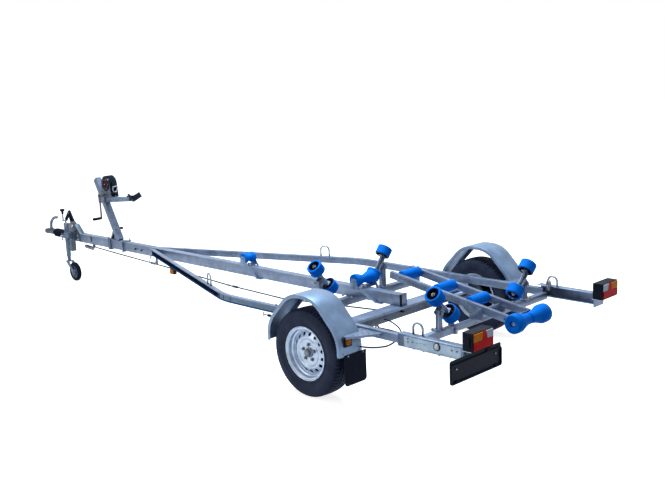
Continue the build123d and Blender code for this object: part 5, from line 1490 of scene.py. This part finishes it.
def make_stage():
    """A pale floor, a white background and soft studio lamps."""
    shade = Shader("floor")
    shade.put("Base Color", (0.9, 0.9, 0.9, 1))
    shade.put("Roughness", 0.9)
    output = shade.tree.nodes["Material Output"]
    distance = shade.tree.nodes.new("ShaderNodeVectorMath")
    distance.operation = "LENGTH"
    shade.link(shade.place, distance.inputs[0])
    fade = shade.tree.nodes.new("ShaderNodeMapRange")
    fade.inputs["From Min"].default_value = 3.0
    fade.inputs["From Max"].default_value = 9.0
    fade.inputs["To Min"].default_value = 0.80
    fade.inputs["To Max"].default_value = 1.0
    shade.link(distance.outputs["Value"], fade.inputs["Value"])
    white = shade.tree.nodes.new("ShaderNodeEmission")
    white.inputs["Color"].default_value = (1, 1, 1, 1)
    shade.link(fade.outputs["Result"], white.inputs["Strength"])
    shadowed = shade.tree.nodes.new("ShaderNodeAddShader")
    shade.link(shade.base.outputs["BSDF"], shadowed.inputs[0])
    shade.link(white.outputs["Emission"], shadowed.inputs[1])
    bounce = shade.tree.nodes.new("ShaderNodeBsdfDiffuse")
    bounce.inputs["Color"].default_value = (0.19, 0.22, 0.28, 1)
    blend = shade.tree.nodes.new("ShaderNodeMixShader")
    shade.link(seen_rays(shade.tree), blend.inputs["Fac"])
    shade.link(bounce.outputs["BSDF"], blend.inputs[1])
    shade.link(shadowed.outputs["Shader"], blend.inputs[2])
    shade.link(blend.outputs["Shader"], output.inputs["Surface"])
    reach = 30.0
    mesh = bpy.data.meshes.new("floor")
    mesh.from_pydata([(-reach, -reach, 0), (reach, -reach, 0), (reach, reach, 0), (-reach, reach, 0)], [],
                     [(0, 1, 2, 3)])
    mesh.materials.append(shade.material)
    floor = bpy.data.objects.new("floor", mesh)
    scene.collection.objects.link(floor)

    world = bpy.data.worlds.new("studio")
    scene.world = world
    world.use_nodes = True
    tree = world.node_tree
    background = tree.nodes["Background"]
    background.inputs["Color"].default_value = (0.80, 0.88, 1.0, 1)
    background.inputs["Strength"].default_value = 0.15
    plain = tree.nodes.new("ShaderNodeBackground")
    plain.inputs["Color"].default_value = (1, 1, 1, 1)
    pick = tree.nodes.new("ShaderNodeMixShader")
    tree.links.new(seen_rays(tree), pick.inputs["Fac"])
    tree.links.new(background.outputs["Background"], pick.inputs[1])
    tree.links.new(plain.outputs["Background"], pick.inputs[2])
    tree.links.new(pick.outputs["Shader"], tree.nodes["World Output"].inputs["Surface"])

    # name, place, aim, width, power, colour
    lamps = (
        ("key", (1.5, 7.0, 4.2), (0.3, 0.0, 0.4), 4.5, 150.0, (1.0, 0.97, 0.96)),
        ("fill", (-7.5, -2.0, 3.0), (-1.0, 0.0, 0.4), 4.0, 34.0, (0.90, 0.92, 1.0)),
        ("top", (0.5, -0.5, 7.5), (0.3, 0.0, 0.4), 5.0, 880.0, (0.76, 0.91, 1.0)),
    )
    for name, place, aim, width, power, colour in lamps:
        data = bpy.data.lights.new(name, "AREA")
        data.size = width
        data.energy = power
        data.color = colour
        lamp = bpy.data.objects.new(name, data)
        scene.collection.objects.link(lamp)
        way = Vector(aim) - Vector(place)
        lamp.matrix_world = Matrix.Translation(place) @ way.to_track_quat("-Z", "Y").to_matrix().to_4x4()


make_camera()
make_stage()
finish_cad_nodes()
for side_name, side_sign in SIDES:
    tyre(side_sign, side_name)
    wheel(side_sign, side_name)
wobble_rollers()
plain_rollers()
waisted_rollers()
bumper_roller()
mudguards()
guard_shelves()
mudflaps()
marker_lamps()
tail_lamps()
plate_holder()
arm_fittings()
rail_films()
frame_fasteners()
small_hardware()
winch_cheeks()
winch_coil()
winch_handle()
post_fittings()
housing_fittings()
coupling_fittings()
handbrake()
bellows()
jockey_parts()
ladder_fittings()
rocker_fittings()
keel_roller_fittings()

scene.view_settings.view_transform = "Standard"
bpy.context.view_layer.update()
